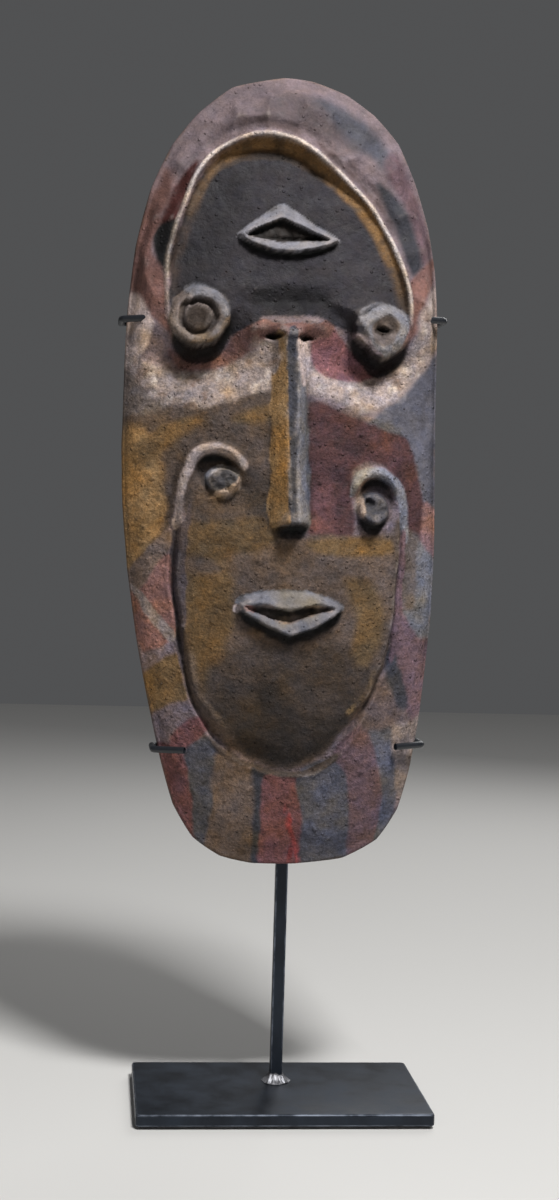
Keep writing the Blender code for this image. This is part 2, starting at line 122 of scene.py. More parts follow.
# %% [markdown]
# ## Measuring tools for the carving
# A carver thinks in lines: how far inside a line is this spot, how far along it, how near to it.
# These small functions answer that for every point of the board at once, so each carved form
# below is a few readable lines. `ramp` is the soft step that a gouge leaves between two levels.

# %% Lines and ramps
ANGLE = np.arctan2(CUT_CURVE[:, 1], CUT_CURVE[:, 0])
ORDER = np.argsort(ANGLE)
RADIUS = np.hypot(CUT_CURVE[:, 0], CUT_CURVE[:, 1])


def share_of(u, v):
    """0 in the middle of the board and 1 on its outline."""
    a = u / HALF_WIDTH
    b = v / HALF_HEIGHT
    reach = np.interp(np.arctan2(b, a), ANGLE[ORDER], RADIUS[ORDER], period=2 * math.pi)
    return np.hypot(a, b) / reach


def ramp(value, start, end):
    """0 before start, 1 after end, smooth between."""
    t = np.clip((value - start) / (end - start), 0, 1)
    return t * t * (3 - 2 * t)


def line_distance(u, v, line):
    """Distance to an open line, and the share of the way along it, at every place."""
    nearest = np.full(u.shape, np.inf)
    along = np.zeros(u.shape)
    spans = len(line) - 1
    for k in range(spans):
        (ax, ay), (bx, by) = line[k], line[k + 1]
        length2 = (bx - ax)**2 + (by - ay)**2 + 1e-9
        t = np.clip(((u - ax) * (bx - ax) + (v - ay) * (by - ay)) / length2, 0, 1)
        gap = np.hypot(u - ax - t * (bx - ax), v - ay - t * (by - ay))
        closer = gap < nearest
        nearest = np.where(closer, gap, nearest)
        along = np.where(closer, (k + t) / spans, along)
    return nearest, along


def inside_by(u, v, corners, rounded=True):
    """Distance inside a closed shape, in mm, negative outside it."""
    curve = smooth_curve(corners, 5) if rounded else np.array(corners, float)
    line = np.concatenate([curve, curve[:1]])
    nearest, _ = line_distance(u, v, line)
    inside = np.zeros(u.shape, bool)
    for (ax, ay), (bx, by) in zip(line, line[1:]):
        if ay != by:
            inside ^= ((ay > v) != (by > v)) & (u < (bx - ax) * (v - ay) / (by - ay) + ax)
    return np.where(inside, nearest, -nearest)


print("from the middle to the rim:", share_of(np.array([0.0, 50.0]), np.zeros(2)).round(2))

# %% [markdown]
# ## Roughness and gouge cuts
# Nothing on carved wood is quite even. `blotches` gives smooth random values, `rough` stacks
# several sizes of them, and `scoops` lays round gouge cuts side by side. Every one of them
# has a fixed seed, so the mask comes out the same each time.

# %% Random unevenness and the round gouge
def blotches(u, v, size, seed):
    """Smooth random values from -1 to 1, with blotches of about that size in mm."""
    table = np.random.default_rng(seed).uniform(-1, 1, (64, 64))
    a = u / size + 1000     # far from zero, so that no place is negative
    b = v / size + 1000
    i = np.floor(a).astype(int)
    j = np.floor(b).astype(int)
    s = ramp(a - i, 0, 1)
    t = ramp(b - j, 0, 1)
    i, i_next = i % 64, (i + 1) % 64
    j, j_next = j % 64, (j + 1) % 64
    low = table[i, j] * (1 - s) + table[i_next, j] * s
    high = table[i, j_next] * (1 - s) + table[i_next, j_next] * s
    return low * (1 - t) + high * t


def rough(u, v, size, seed, layers=4):
    """Blotches of falling size on top of each other."""
    total = 0
    for k in range(layers):
        total = total + blotches(u, v, size / 2**k, seed + k) * 0.5**k
    return total


def scoops(u, v, spacing, gouge_radius, stretch, seed):
    """Cuts of a round gouge side by side: the deepest cut wins, with ridges between cuts."""
    rng = np.random.default_rng(seed)
    deepest = np.full(u.shape, np.inf)
    past_top, past_side = 280, 120
    for row in np.arange(-past_top, past_top + 1, spacing * stretch):
        for column in np.arange(-past_side, past_side + 1, spacing):
            cu = column + rng.uniform(-0.4, 0.4) * spacing
            cv = row + rng.uniform(-0.4, 0.4) * spacing * stretch
            lift = rng.uniform(0, 0.5)
            bowl = ((u - cu)**2 + ((v - cv) / stretch)**2) / (2 * gouge_radius) + lift
            deepest = np.minimum(deepest, bowl)
    return deepest


here = scoops(np.zeros(1), np.zeros(1), 21, 33, 1.3, 11)
print("the gouge leaves", round(float(here[0]), 2), "mm at the middle")


# %% [markdown]
# ## The carved forms
# The mask is one board, so nose, lips, scrolls and rims are all cut from it. Each function
# below returns how high its form stands over the plain domed board, in millimetres. Working
# from a height for every spot keeps the wood in one closed piece with no joints, like the
# real one, and undercuts can be left out because the carver's tools left none that show.

# %% The forehead panel and its rim
RIM = [
    (-72, 98), (-72, 109), (-72.5, 123), (-71.5, 137), (-67, 154), (-60.5, 171), (-53, 189),
    (-42, 203), (-25.5, 212), (-11, 215.5), (4, 214), (16, 209), (30, 198.5), (44, 185.5),
    (58, 170.5), (69, 152.5), (76, 136), (81.5, 119), (83.5, 104), (83, 92),
]
BROW = [
    (72, 82), (60, 80), (48, 84), (38, 92), (28, 99), (12, 101), (-6, 101), (-16, 99),
    (-26, 92), (-40, 84), (-60, 84),
]
PANEL_TOP = 208
PANEL_FOOT = 95
SUNK_AT_TOP = -5.5       # mm, the panel's floor below the board at its top
RISE_TO_FOOT = 13.0      # mm, how far the floor comes forward on the way down
CREST_HEIGHT = 4.6
CREST_OUTWARD = 2.9      # mm, the crest's width on its outer and on its inner side
CREST_INWARD = 3.0


def panel_level(v):
    """The panel is sunk behind its rim at the top and stands proud above the brow."""
    down = np.clip((PANEL_TOP - v) / (PANEL_TOP - PANEL_FOOT), 0, 1)
    return SUNK_AT_TOP + RISE_TO_FOOT * down**1.2


def forehead(u, v):
    """The sunk panel, the wall and crest round it, and the swellings beside and below it."""
    depth = inside_by(u, v, RIM + BROW)
    rim_gap, _ = line_distance(u, v, smooth_curve(RIM, 5, closed=False))
    brow = ramp(112 - v, 0, 18) * ramp(72 - np.abs(u - 6), 0, 12)
    floor = panel_level(v) - 4.5 * ramp(120 - v, 0, 16) * ramp(38 - np.abs(u - 2), 0, 16)
    beside_root = np.exp(-((u - 38) / 11)**2) + np.exp(-((u + 27) / 8)**2)
    wall = ramp(depth, 0.8, 6.5 + brow * (6 + 9 * beside_root))
    swell = np.exp(-(np.minimum(depth, 0) / 17)**2) * ramp(np.abs(u - 6), 62, 76)
    swell = 7.5 * swell * ramp(v, 66, 92) * (1 - ramp(v, 140, 200))
    outside = swell * (1 - wall)
    outward = np.where(depth < 0, rim_gap, 0)
    inward = np.where(depth < 0, 0, rim_gap)
    thin = 1 - 0.4 * ramp(-u, 48, 62)
    crest = CREST_HEIGHT * np.maximum(1 - (outward / (CREST_OUTWARD * thin))**2, 0)
    crest = crest * np.maximum(1 - inward / CREST_INWARD, 0)
    crest = crest * (0.8 + 0.2 * blotches(u, v, 14, 5)) * thin
    groove = -2.2 * np.exp(-((rim_gap - 7.5) / 3.4)**2) * (depth < 0) * ramp(v, 112, 160)
    root = 4.0 * ramp(34 - np.abs(u - 4), 0, 14) * ramp(v, 72, 94) * (1 - wall)
    return floor * wall + outside + crest + groove * (1 - wall) + root


print("panel floor, mm:", [round(float(panel_level(at)), 1) for at in (PANEL_TOP, PANEL_FOOT)])

# %% [markdown]
# ## The rolled ends of the rim
# The rim ends in two scrolls. Each was left standing as a flat-topped drum and then grooved.
# A groove that winds inwards is simply a distance that grows with the turn, so the left
# scroll needs one line for its spiral. The right one is a funnel with an eye-shaped hole, and
# its outline is pulled out where the knife left corners.

# %% The upper scrolls
UPPER_LEFT_SCROLL = (-52.6, 98.3, 19.6)      # middle and radius
UPPER_RIGHT_SCROLL = (66.3, 90.0, 16.8)


def left_scroll(u, v, height):
    """A round ring, a groove winding inwards and a knob."""
    cu, cv, radius = UPPER_LEFT_SCROLL
    turn = np.arctan2(v - cv, u - cu)
    flats = 1 + 0.022 * np.cos(7 * turn + 0.7)
    distance = np.hypot(u - cu, v - cv) / flats
    wound = distance + 2.2 * np.mod(turn - 2.2, 2 * math.pi) / (2 * math.pi)
    blend = np.exp(-((np.mod(turn, 2 * math.pi) - 2.15) / 0.6)**2)
    ring = 4.4 * ramp(wound, 12.4, 14.2) * (1 - 0.5 * ramp(distance, 16.0, 19.6))
    ring = ring - 4.5 * blend * ramp(distance, 12.5, 19.0)
    knob = 4.0 * ramp(10.4 - wound, 0, 1.3)
    knob = knob - 1.0 * ramp(3.8 - np.hypot(u - cu - 1, v - cv + 1), 0, 2)
    top = 7.6 + np.maximum(ring, knob)
    return height + (top - height) * ramp(radius - distance, -0.5, 1.3)


def right_scroll(u, v, height):
    """A drum with a worn outer edge, a funnel in it and an eye-shaped hole."""
    cu, cv, radius = UPPER_RIGHT_SCROLL
    hood = 4.5 * ramp(17 - np.hypot((u - 60) / 1.25, v - 99), 0, 11)
    height = height + hood * ramp(v, 84, 92)
    turn = np.arctan2(v - cv, u - cu)
    pull = 1.03 + 0.14 * np.exp(-((turn + 1.75) / 0.42)**2)
    pull = pull + 0.20 * np.exp(-((np.abs(turn) - 2.95) / 0.4)**2)
    pull = pull - 0.05 * np.exp(-((turn + 2.45) / 0.35)**2)
    distance = np.hypot(u - cu, v - cv) / pull
    crease = 9.8 + 0.8 * np.cos(4 * turn + 0.8)
    funnel = -4.4 * np.clip((crease - distance) / 5.5, 0, 1)
    outer_bevel = -5.0 * np.clip((distance - crease) / 7.0, 0, 1)
    from_hole = np.hypot((u - cu + 1.5) / 1.5, (v - cv) / 0.62 + 0.25 * (u - cu))
    hole = -4.2 * ramp(3.4 - from_hole, 0, 1.6)
    top = 12.5 + funnel + outer_bevel + hole
    return height + (top - height) * ramp(radius - distance, -0.5, 1.3)


print("scrolls of radius", UPPER_LEFT_SCROLL[2], "and", UPPER_RIGHT_SCROLL[2])

# %% [markdown]
# ## The scrolls on the cheeks
# On the cheeks two round ridges curl over blunt knobs. They were cut quickly and are half worn
# away, so the knobs' tops are lumpy. A ridge is a distance to an open curve, and it dies out
# towards the curve's ends.

# %% The lower scrolls
LEFT_CREST = [
    (-69, -34), (-67.5, -22), (-64, -9), (-60, 5), (-52, 14), (-41, 15), (-31, 11), (-25, 4),
    (-23.5, -4),
]
RIGHT_CREST = [
    (46, -16), (48, -7), (54, -2), (61, -0.5), (69, -3), (75, -11), (78.5, -24), (79, -42),
    (76, -72), (73, -102),
]
LEFT_KNOB = [(-47, -1), (-42, 2), (-33, 1), (-28, -4), (-29, -11), (-35, -15), (-43, -13), (-48, -7)]


def lower_scrolls(u, v):
    """Ridges that curl over two blunt knobs on the cheeks."""
    gap, along = line_distance(u, v, smooth_curve(LEFT_CREST, 5, closed=False))
    fade = ramp(along, 0, 0.25) * (1 - 0.7 * ramp(along, 0.8, 1.0))
    ridge = 5.4 * np.maximum(1 - (gap / 5.6)**2, 0) * fade
    gap, along = line_distance(u, v, smooth_curve(RIGHT_CREST, 5, closed=False))
    fade = ramp(along, 0, 0.1) * (1 - 0.75 * ramp(along, 0.5, 0.75))
    ridge = ridge + 5.2 * np.maximum(1 - (gap / 5.0)**2, 0) * fade
    lumps = 1.7 * rough(u, v, 6, 31, 3)
    bowls = -4.0 * ramp(15 - np.hypot(u + 42, v - 1), 0, 6)
    bowls = bowls - 4.0 * ramp(14 - np.hypot(u - 61, v + 16), 0, 5)
    inside = inside_by(u, v, LEFT_KNOB)
    left = (9.0 + 1.3 * lumps) * ramp(inside, -1.0, 1.6)
    left = left - 2.5 * ramp(-8 - v, 0, 4) * ramp(inside, -1, 1)
    right_gap = np.hypot(u - 58.5, v + 24)
    right = (10.0 + 1.3 * lumps) * ramp(11.4 - right_gap, 0, 2.8)
    dent = -3.0 * ramp(4.5 - np.hypot(u - 56, (v + 20) * 1.2), 0, 3)
    return ridge + bowls + left + right + dent


print("ridges of", len(LEFT_CREST), "and", len(RIGHT_CREST), "points")

# %% [markdown]
# ## The two mouths
# The lips stand out as two sloping planes round a cut. Their slope is the share of the way
# from the lips' outline to the opening, so it stays straight however wide the lip is. The
# corners are sharp, so these outlines are polygons and not curves.

# %% The mouths
UPPER_LIPS = [
    (-28.5, 150.5), (-24, 155), (-8, 165), (2.5, 170.5), (13, 164.5), (28, 154), (38.2, 147), (30, 143),
    (20, 140), (8, 138.4), (-6, 139.4), (-18, 144),
]
UPPER_MOUTH = [
    (-24.5, 150.5), (-12, 155.6), (0.7, 161), (14, 155.2), (32, 147), (20, 146.6), (5, 146.2),
    (-12, 148),
]
LOWER_LIPS = [
    (-31, -84.5), (-25.3, -78), (-11, -75.6), (4, -75.8), (18, -76.4), (30, -80.5), (38.8, -86.5),
    (32, -92.5), (20.6, -99.5), (3.3, -105), (-11.4, -98.5), (-24, -91),
]
LOWER_MOUTH = [
    (-27, -84.6), (-14, -83.4), (-4.3, -86.8), (4, -88.6), (13, -86.0), (22, -84.2),
    (34, -86.6), (24, -89.8), (13, -93.0), (3, -96.8), (-9, -93.4), (-19, -88.8),
]


def mouth(u, v, lips, opening, middle, lift, depth):
    """A flat upper lip that slopes out to the opening, a thinner lower lip, and the cut between."""
    out = inside_by(u, v, lips, rounded=False)
    cut = inside_by(u, v, opening, rounded=False)
    across = np.clip(out / (out - np.minimum(cut, -0.01)), 0, 1)
    upper = 0.6 + (lift - 0.6) * across
    lower = lift * (1.0 - 0.3 * across)
    band = upper + (lower - upper) * ramp(middle - v, -0.8, 0.8)
    band = band * ramp(out, -0.5, 1.0)
    hollow = -(lift + depth) * ramp(cut, -0.4, 0.9)
    return band + hollow + 0.7 * rough(u, v, 3, 83, 2) * ramp(cut, 0, 1.5)


print("lips of", len(UPPER_LIPS), "and", len(LOWER_LIPS), "corners")

# %% [markdown]
# ## The nose and the brow
# The nose is one straight bar with a narrow flat top. It rises towards a blunt tip, and its two
# flanks fall at different slopes. A ledge crosses the brow at its root, with a ragged pit on
# either side where the tool went too deep.

# %% The nose and the bar across the brow
def nose(u, v):
    """A straight ridge with a narrow flat top, higher and wider towards its blunt tip."""
    down = np.clip((86 - v) / 118, 0, 1)
    middle = 6.2 - 0.8 * down + 0.8 * blotches(u * 0, v, 26, 71)
    half_top = 3.9 - 1.0 * down + 0.6 * ramp(down, 0.9, 1.0)
    dip = ramp(down, 0.2, 0.5) * (1 - ramp(down, 0.6, 0.95))
    height = 6.5 + 10.5 * down**0.9 - 1.0 * dip
    left = 7.5 + 4.0 * down
    right = 5.0 + 3.5 * down
    beside = u - middle
    flank = np.where(beside < 0, left, right)
    side = np.clip(1 - (np.abs(beside) - half_top) / flank, 0, 1)
    side = side - 0.06 * np.exp(-((beside + 0.8) / 1.5)**2)
    ends = ramp(v, -36.5, -32.5) * (1 - ramp(v, 86, 92))
    return height * side * ends


def brow_bar(u, v):
    """The root of the nose: a bar with a sharp upper edge, and a pit on either side below it."""
    across = ramp(30 - np.abs(u - 5), 0, 14)
    ledge = 2.6 * across * (1 - ramp(v, 95.4, 97.6)) * ramp(v, 86, 92)
    keystone = 1.6 * ramp(9 - np.abs(u - 6), 0, 3) * ramp(v, 84, 86) * (1 - ramp(v, 91, 94))
    ragged = v + 0.9 * blotches(u, v, 3.5, 87)
    left_pit = -6.0 * ramp(1 - np.hypot((u + 4.5) / 7.5, (ragged - 86.2) / 2.6), 0, 0.5)
    right_pit = -5.5 * ramp(1 - np.hypot((u - 15.0) / 6.5, (ragged - 84.6) / 2.1), 0, 0.5)
    return ledge + keystone + left_pit + right_pit


tip = float(nose(np.array([5.4]), np.array([-30.0]))[0])
print("nose, mm over the board at its tip:", round(tip, 1))

# %% [markdown]
# ## The lower face
# The lower face is a shield that a groove sets off from the board. One outline is the groove's
# outer edge and the other is the shield's crest, so the slope between them is wide under the
# chin and narrow at the sides, as the two outlines say.

# %% The lower face
FACE_EDGE = [
    (-69, -26), (-71, -60), (-70.5, -81), (-68, -110), (-63.5, -132), (-57, -152), (-48, -168),
    (-34, -182), (-14, -192), (7, -194), (23, -191), (42, -175), (56, -149), (62.5, -135),
    (69.5, -122), (72.5, -102), (75, -72), (78, -44), (74, 10), (0, 40), (-66, 10),
]
FACE_CREST = [
    (-59.5, -26), (-61, -60), (-60.5, -90), (-58, -120), (-55, -139), (-46, -152), (-36, -161),
    (-15, -166), (6, -167), (24, -164), (40, -155), (49, -147), (56, -138), (64, -118),
    (69, -96), (71.5, -72), (74, -44), (70, 8), (0, 34), (-56, 8),
]


def lower_face(u, v):
    """A shield inside a groove, which is wide under the chin and narrow at the sides."""
    shaken = 1.2 * blotches(u, v, 18, 77)
    edge = inside_by(u, v, FACE_EDGE) + shaken
    crest = inside_by(u, v, FACE_CREST) + 2.0 * shaken
    rise = np.clip(edge / (edge - np.minimum(crest, -0.01)), 0, 1)
    fade = 1 - ramp(v, -44, -12)
    side = ramp(np.abs(u - 4), 58, 66) * (1 - ramp(-v, 90, 130))
    groove = (-2.4 - 0.6 * side) * ramp(edge, -0.6, 1.6)
    groove = groove * (1 - ramp(rise, 0.15, 0.85 - 0.3 * side))
    shield = 4.2 * ramp(rise, 0.1, 1.0 - 0.4 * side)
    lip = 0.9 * np.exp(-((edge + 1.4) / 1.6)**2) * (1 + 0.8 * blotches(u, v, 7, 79))
    return (groove + shield + lip) * fade


def eye_hollows(u, v):
    """Shallow scoops under the upper scrolls, whose lower slopes catch the light."""
    left = ramp(1 - np.hypot((u + 46) / 44, (v - 70) / 29), 0, 0.8)
    right = ramp(1 - np.hypot((u - 53) / 40, (v - 68) / 30), 0, 0.8)
    return -9.5 * (left + right)


print("lower face of", len(FACE_EDGE), "and", len(FACE_CREST), "points")

# %% [markdown]
# ## The surface of the wood
# Over the big forms lie the traces of the work: broad gouge cuts on the bare forehead, thick
# gritty earth pigment on the bands under the eyes, brush drags, and small knocks along the
# rim. They are part of the shape here, because light from above rakes over every one of them.

# %% Brush marks and all heights together
def drags(u, v, lean, seed):
    """Long narrow marks that a brush or a finger leaves in thick paint, leaning by an angle."""
    along = u * math.cos(lean) + v * math.sin(lean)
    across = v * math.cos(lean) - u * math.sin(lean)
    return rough(along * 0.28, across * 1.5, 5, seed, 3)


def brush_marks(u, v):
    """Steep drags on the upper half of the mask that turn level towards the chin."""
    return drags(u, v, 0.75, 211) * ramp(v, -120, 0) + drags(u, v, 0.1, 213) * ramp(-v, -40, 90)


PAINT_BANDS = [          # thick chalky paint under the two eyes
    [(-94, 74), (-67, 64), (-34, 68), (-12, 86), (-2, 70), (-16, 51), (-46, 39), (-84, 51)],
    [(100, 110), (101, 82), (84, 53), (60, 38), (33, 46), (18, 60), (35, 64), (60, 62), (84, 80)],
]


def carving(u, v):
    """Height of the whole face over the flat plane of the board's edge."""
    share = share_of(u, v)
    height = forehead(u, v) + eye_hollows(u, v)
    height = right_scroll(u, v, left_scroll(u, v, height))
    height = height + lower_scrolls(u, v) + lower_face(u, v) + brow_bar(u, v)
    height = height + mouth(u, v, UPPER_LIPS, UPPER_MOUTH, 148.8, 7.5, -1.0)
    height = height + mouth(u, v, LOWER_LIPS, LOWER_MOUTH, -87.0, 8.5, -3.8)
    height = height + nose(u, v)
    cuts = scoops(u, v, 21, 33, 1.3, 11)
    bare = ramp(-inside_by(u, v, RIM + BROW), 0, 6) * ramp(v, 60, 120)
    height = height + cuts * (0.2 + 1.2 * bare)
    height = height + 0.11 * brush_marks(u, v) * (1 - 0.4 * bare)
    uneven = 0.32 * rough(u, v, 14, 21) + 0.24 * rough(u, v, 3.2, 41, 3)
    height = height + (1 - 0.75 * bare) * uneven
    grains = np.maximum(rough(u, v, 3.4, 61, 2) - 0.78, 0)
    height = height + 2.6 * grains * ramp(150 - v, 0, 60)
    thick = sum(ramp(inside_by(u, v, band), -4, 4) for band in PAINT_BANDS)
    height = height + thick * (0.4 + 0.45 * rough(u, v, 3.2, 51, 3))
    to_edge = (1 - EDGE_EASE / HALF_WIDTH - share) * HALF_WIDTH
    chamfer = -3.4 * np.clip(1 - to_edge / (7.5 + 3.0 * blotches(u, v, 30, 63)), 0, 1)
    return DOME * (1 - share**2) + height * ramp(to_edge, 0, 4.5) + chamfer


tip = float(carving(np.array([5.5]), np.array([-30.0]))[0])
print("nose tip stands", round(tip, 1), "mm proud")

# %% [markdown]
# ## The board
# The front starts as a flat grid, because a grid can be carved evenly all over. It is bent to
# fill the outline, and every point is pushed out by the carved height. Then its open edge is
# extruded and drawn in, ring by ring: round the edge of the board, across the flat border of
# the back, and down into the hollow that the wearer's face would fill.

# %% Sizes of the board and ways to read and write a mesh
GRID_ACROSS = 184
GRID_UP = 432
FRONT_DROP = 2.5         # mm, the front edge lies this far behind the plane of the edge
BACK_INSET = 3.0         # mm, the back is smaller than the front all round
LAND = 17.0              # mm, the flat border of the back
HOLLOW_DEPTH = 20.0
INNER_WIDTH = HALF_WIDTH - BACK_INSET - LAND
INNER_HEIGHT = HALF_HEIGHT - BACK_INSET - LAND


def nothing_selected():
    if bpy.context.object and bpy.context.object.mode != "OBJECT":
        bpy.ops.object.mode_set(mode="OBJECT")
    bpy.ops.object.select_all(action="DESELECT")


def read_places(mesh):
    flat = np.empty(len(mesh.vertices) * 3)
    mesh.vertices.foreach_get("co", flat)
    return flat.reshape(-1, 3)


def write_places(mesh, places):
    mesh.vertices.foreach_set("co", np.ascontiguousarray(places, dtype=float).ravel())
    mesh.update()


print("hollow, mm:", round(2 * INNER_WIDTH), "wide,", round(2 * INNER_HEIGHT), "tall")

# %% [markdown]
# A square grid is bent to a disc and the disc to the outline, so its rows stay even and no
# point of the front is wasted.

# %% Bend a flat grid to the outline
nothing_selected()
bpy.ops.mesh.primitive_grid_add(x_subdivisions=GRID_ACROSS, y_subdivisions=GRID_UP, size=2)
mask = bpy.context.object
mask.name = "carved_mask"
flat = read_places(mask.data)
disc_x = flat[:, 0] * np.sqrt(1 - flat[:, 1]**2 / 2)
disc_y = flat[:, 1] * np.sqrt(1 - flat[:, 0]**2 / 2)
turn = np.arctan2(disc_y, disc_x)
reach = np.hypot(disc_x, disc_y) * np.interp(turn, ANGLE[ORDER], RADIUS[ORDER], period=2 * math.pi)
eased_width = HALF_WIDTH - EDGE_EASE
eased_height = HALF_HEIGHT - EDGE_EASE
front_u = eased_width * reach * np.cos(turn)
front_v = eased_height * reach * np.sin(turn)
write_places(mask.data, np.stack([front_u, 0 * front_u + FRONT_DROP, front_v], axis=1) * MM)
front_count = len(flat)
print("front:", front_count, "points")

# %% [markdown]
# The front's open edge is now extruded ring by ring. Each ring is given as its distance inside
# the outline and its depth. The first few round the edge, the last ones fill the hollow. The
# back needs fewer points than the front, so on the way four points are merged into one.

# %% Close the edge and the back
MERGE_AFTER = 7          # rings before the points are merged
HOLLOW_STEPS = 20
rings = [
    (1.2, 3.2), (0.4, 4.4), (0.0, 6.2), (0.4, 10.0), (1.4, 15.0), (2.2, 18.5),
    (BACK_INSET, EDGE_THICKNESS - 1.2), (BACK_INSET + 1.2, EDGE_THICKNESS),
    (BACK_INSET + LAND * 0.5, EDGE_THICKNESS), (BACK_INSET + LAND, EDGE_THICKNESS),
]
for k in range(1, HOLLOW_STEPS):
    inset = BACK_INSET + LAND + INNER_WIDTH * (k / HOLLOW_STEPS)**1.3
    rings.append((inset, EDGE_THICKNESS))


def extrude_ring(shrink_u, shrink_v, deeper):
    """Extrudes the open edge, which is selected, and draws the new ring in and back."""
    bpy.ops.mesh.extrude_region_move(TRANSFORM_OT_translate={"value": (0, deeper * MM, 0)})
    bpy.ops.transform.resize(value=(shrink_u, 1, shrink_v), center_override=(0, 0, 0))


def merge_by_four():
    """Moves every four neighbours of the open edge to one place and merges them."""
    bpy.ops.object.mode_set(mode="OBJECT")
    ring = np.array([vertex.index for vertex in mask.data.vertices if vertex.select])
    now = read_places(mask.data)
    turn = np.arctan2(now[ring, 2] / HALF_HEIGHT, now[ring, 0] / HALF_WIDTH)
    ring = ring[np.argsort(turn)]
    for k in range(0, len(ring), 4):
        now[ring[k:k + 4]] = now[ring[k:k + 4]].mean(axis=0)
    write_places(mask.data, now)
    bpy.ops.object.mode_set(mode="EDIT")
    bpy.ops.mesh.remove_doubles(threshold=1e-7)


bpy.ops.object.mode_set(mode="EDIT")
bpy.ops.mesh.select_mode(type="EDGE")
bpy.ops.mesh.select_all(action="SELECT")
bpy.ops.mesh.region_to_loop()
now_u, now_v, now_y = eased_width, eased_height, FRONT_DROP
for number, (inset, y) in enumerate(rings):
    if number == MERGE_AFTER:
        merge_by_four()
    next_u = HALF_WIDTH - inset
    next_v = HALF_HEIGHT - inset
    if inset > BACK_INSET + LAND:
        next_v = next_u / INNER_WIDTH * INNER_HEIGHT
    extrude_ring(next_u / now_u, next_v / now_v, y - now_y)
    now_u, now_v, now_y = next_u, next_v, y
bpy.ops.mesh.merge(type="CENTER")
bpy.ops.mesh.select_all(action="SELECT")
bpy.ops.mesh.normals_make_consistent(inside=False)
bpy.ops.object.mode_set(mode="OBJECT")
triangles = sum(len(face.vertices) - 2 for face in mask.data.polygons)
print("board:", len(mask.data.vertices), "points,", triangles, "triangles")

# %% [markdown]
# The board is flat until now. The next cell does the carving: the front points move out by the
# carved height, and the back points move in, to a hollow with its own coarser gouge cuts.

# %% Carve the front and hollow the back
places = read_places(mask.data) / MM
u = places[:, 0].copy()
v = places[:, 2].copy()
y = places[:, 1].copy() + EDGE_Y
is_front = np.arange(len(u)) < front_count
y[is_front] = EDGE_Y - carving(u[is_front], v[is_front])
back = places[:, 1] > EDGE_THICKNESS - 0.1
hollow_share = share_of(u[back] * HALF_WIDTH / INNER_WIDTH, v[back] * HALF_HEIGHT / INNER_HEIGHT)
bowl = np.clip(1 - np.minimum(hollow_share, 1)**3, 0, 1) ** 0.7
cuts = scoops(u[back], v[back], 22, 70, 1.8, 13) * ramp(1 - hollow_share, 0.02, 0.15)
y[back] = BACK_Y - HOLLOW_DEPTH * bowl + 1.2 * cuts
side = ~is_front & ~back
wobble = 0.5 * rough(np.arctan2(v, u) * 60, y * 2, 16, 61, 3)[side]
u[side] += wobble * np.sign(u[side]) * 0.4
write_places(mask.data, to_world(u, y, v))
bpy.ops.object.shade_smooth()
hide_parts("mask_board")
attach(mask, "bracket")
print("carved, deepest hollow", round(float(BACK_Y - y[back].min()), 1), "mm")

# %% [markdown]
# ## The paint
# The colours are earth and charcoal rubbed on by hand, in bands that follow the carving. A
# dozen pigments, thinned or thickened, make all of them. Each band is a closed shape with a
# pigment, its strength and the softness of its edge in mm, and later ones cover earlier ones.

# %% Pigments, and bands of the forehead
PIGMENTS = {
    "bark": (100, 87, 90), "rust": (114, 82, 76), "blood": (84, 36, 32), "maroon": (84, 56, 58),
    "ochre": (110, 86, 58), "umber": (80, 67, 60), "slate": (77, 76, 85), "charcoal": (40, 37, 41),
    "chalk": (140, 125, 120), "mauve": (100, 79, 85), "stone": (114, 112, 118), "rose": (124, 95, 96),
}
PAINT = [
    ("forehead", "bark", 1.14, 1, [(-300, -300), (-300, 300), (300, 300), (300, -300)]),
    ("forehead_tl", "bark", 0.8, 9, [
        (-72, 190), (-58, 214), (-40, 230), (-20, 238), (-24, 226), (-44, 212), (-60, 192)
    ]),
    ("forehead_left", "rust", 0.8, 8, [
        (-90, 160), (-76, 190), (-70, 196), (-66, 182), (-74, 164), (-84, 150)
    ]),
    ("forehead_warm", "bark", 1.0, 6, [
        (-53, 240), (-14, 250), (9, 242), (-8, 222), (-28, 217), (-50, 205), (-70, 196), (-68, 215)
    ]),
    ("forehead_top", "bark", 0.84, 8, [
        (5, 246), (30, 238), (50, 222), (62, 206), (48, 204), (30, 214), (10, 221), (-12, 222),
        (-8, 236)
    ]),
    ("forehead_right", "slate", 0.88, 9, [
        (24, 240), (50, 232), (70, 212), (84, 190), (76, 186), (60, 200), (40, 218)
    ]),
    ("right_lilac", "mauve", 0.88, 6, [
        (76, 207), (88, 187), (98, 155), (100, 139), (90, 135), (81, 169), (69, 192)
    ]),
    ("forehead_low", "slate", 0.62, 5, [(62, 185), (80, 172), (92, 136), (84, 126), (76, 150)]),
    ("red_patch", "blood", 0.6, 3, [
        (-58, 195), (-52, 198), (-58, 180), (-65, 160), (-75, 156), (-74, 167), (-67, 182)
    ]),
    ("left_slate", "charcoal", 0.4, 2.5, [
        (-79, 155), (-65, 160), (-68, 144), (-71, 127), (-77, 130), (-81, 144)
    ]),
    ("left_rust", "rust", 0.9, 2.5, [
        (-85, 167), (-75, 160), (-81, 152), (-82, 140), (-75, 127), (-73, 111), (-73, 101),
        (-69, 87), (-77, 94), (-87, 106), (-94, 117), (-95, 134), (-91, 153)
    ]),
    ("left_cream", "chalk", 1.28, 2.5, [
        (-98, 114), (-90, 114), (-84, 102), (-81, 92), (-86, 81), (-91, 74), (-100, 69), (-101, 94)
    ]),
    ("left_edge", "chalk", 0.68, 4, [
        (-105, 74), (-92, 61), (-82, 49), (-69, 43), (-76, 31), (-88, 28), (-99, 21), (-106, 31),
        (-106, 61)
    ]),
]
print("bands so far:", len(PAINT))

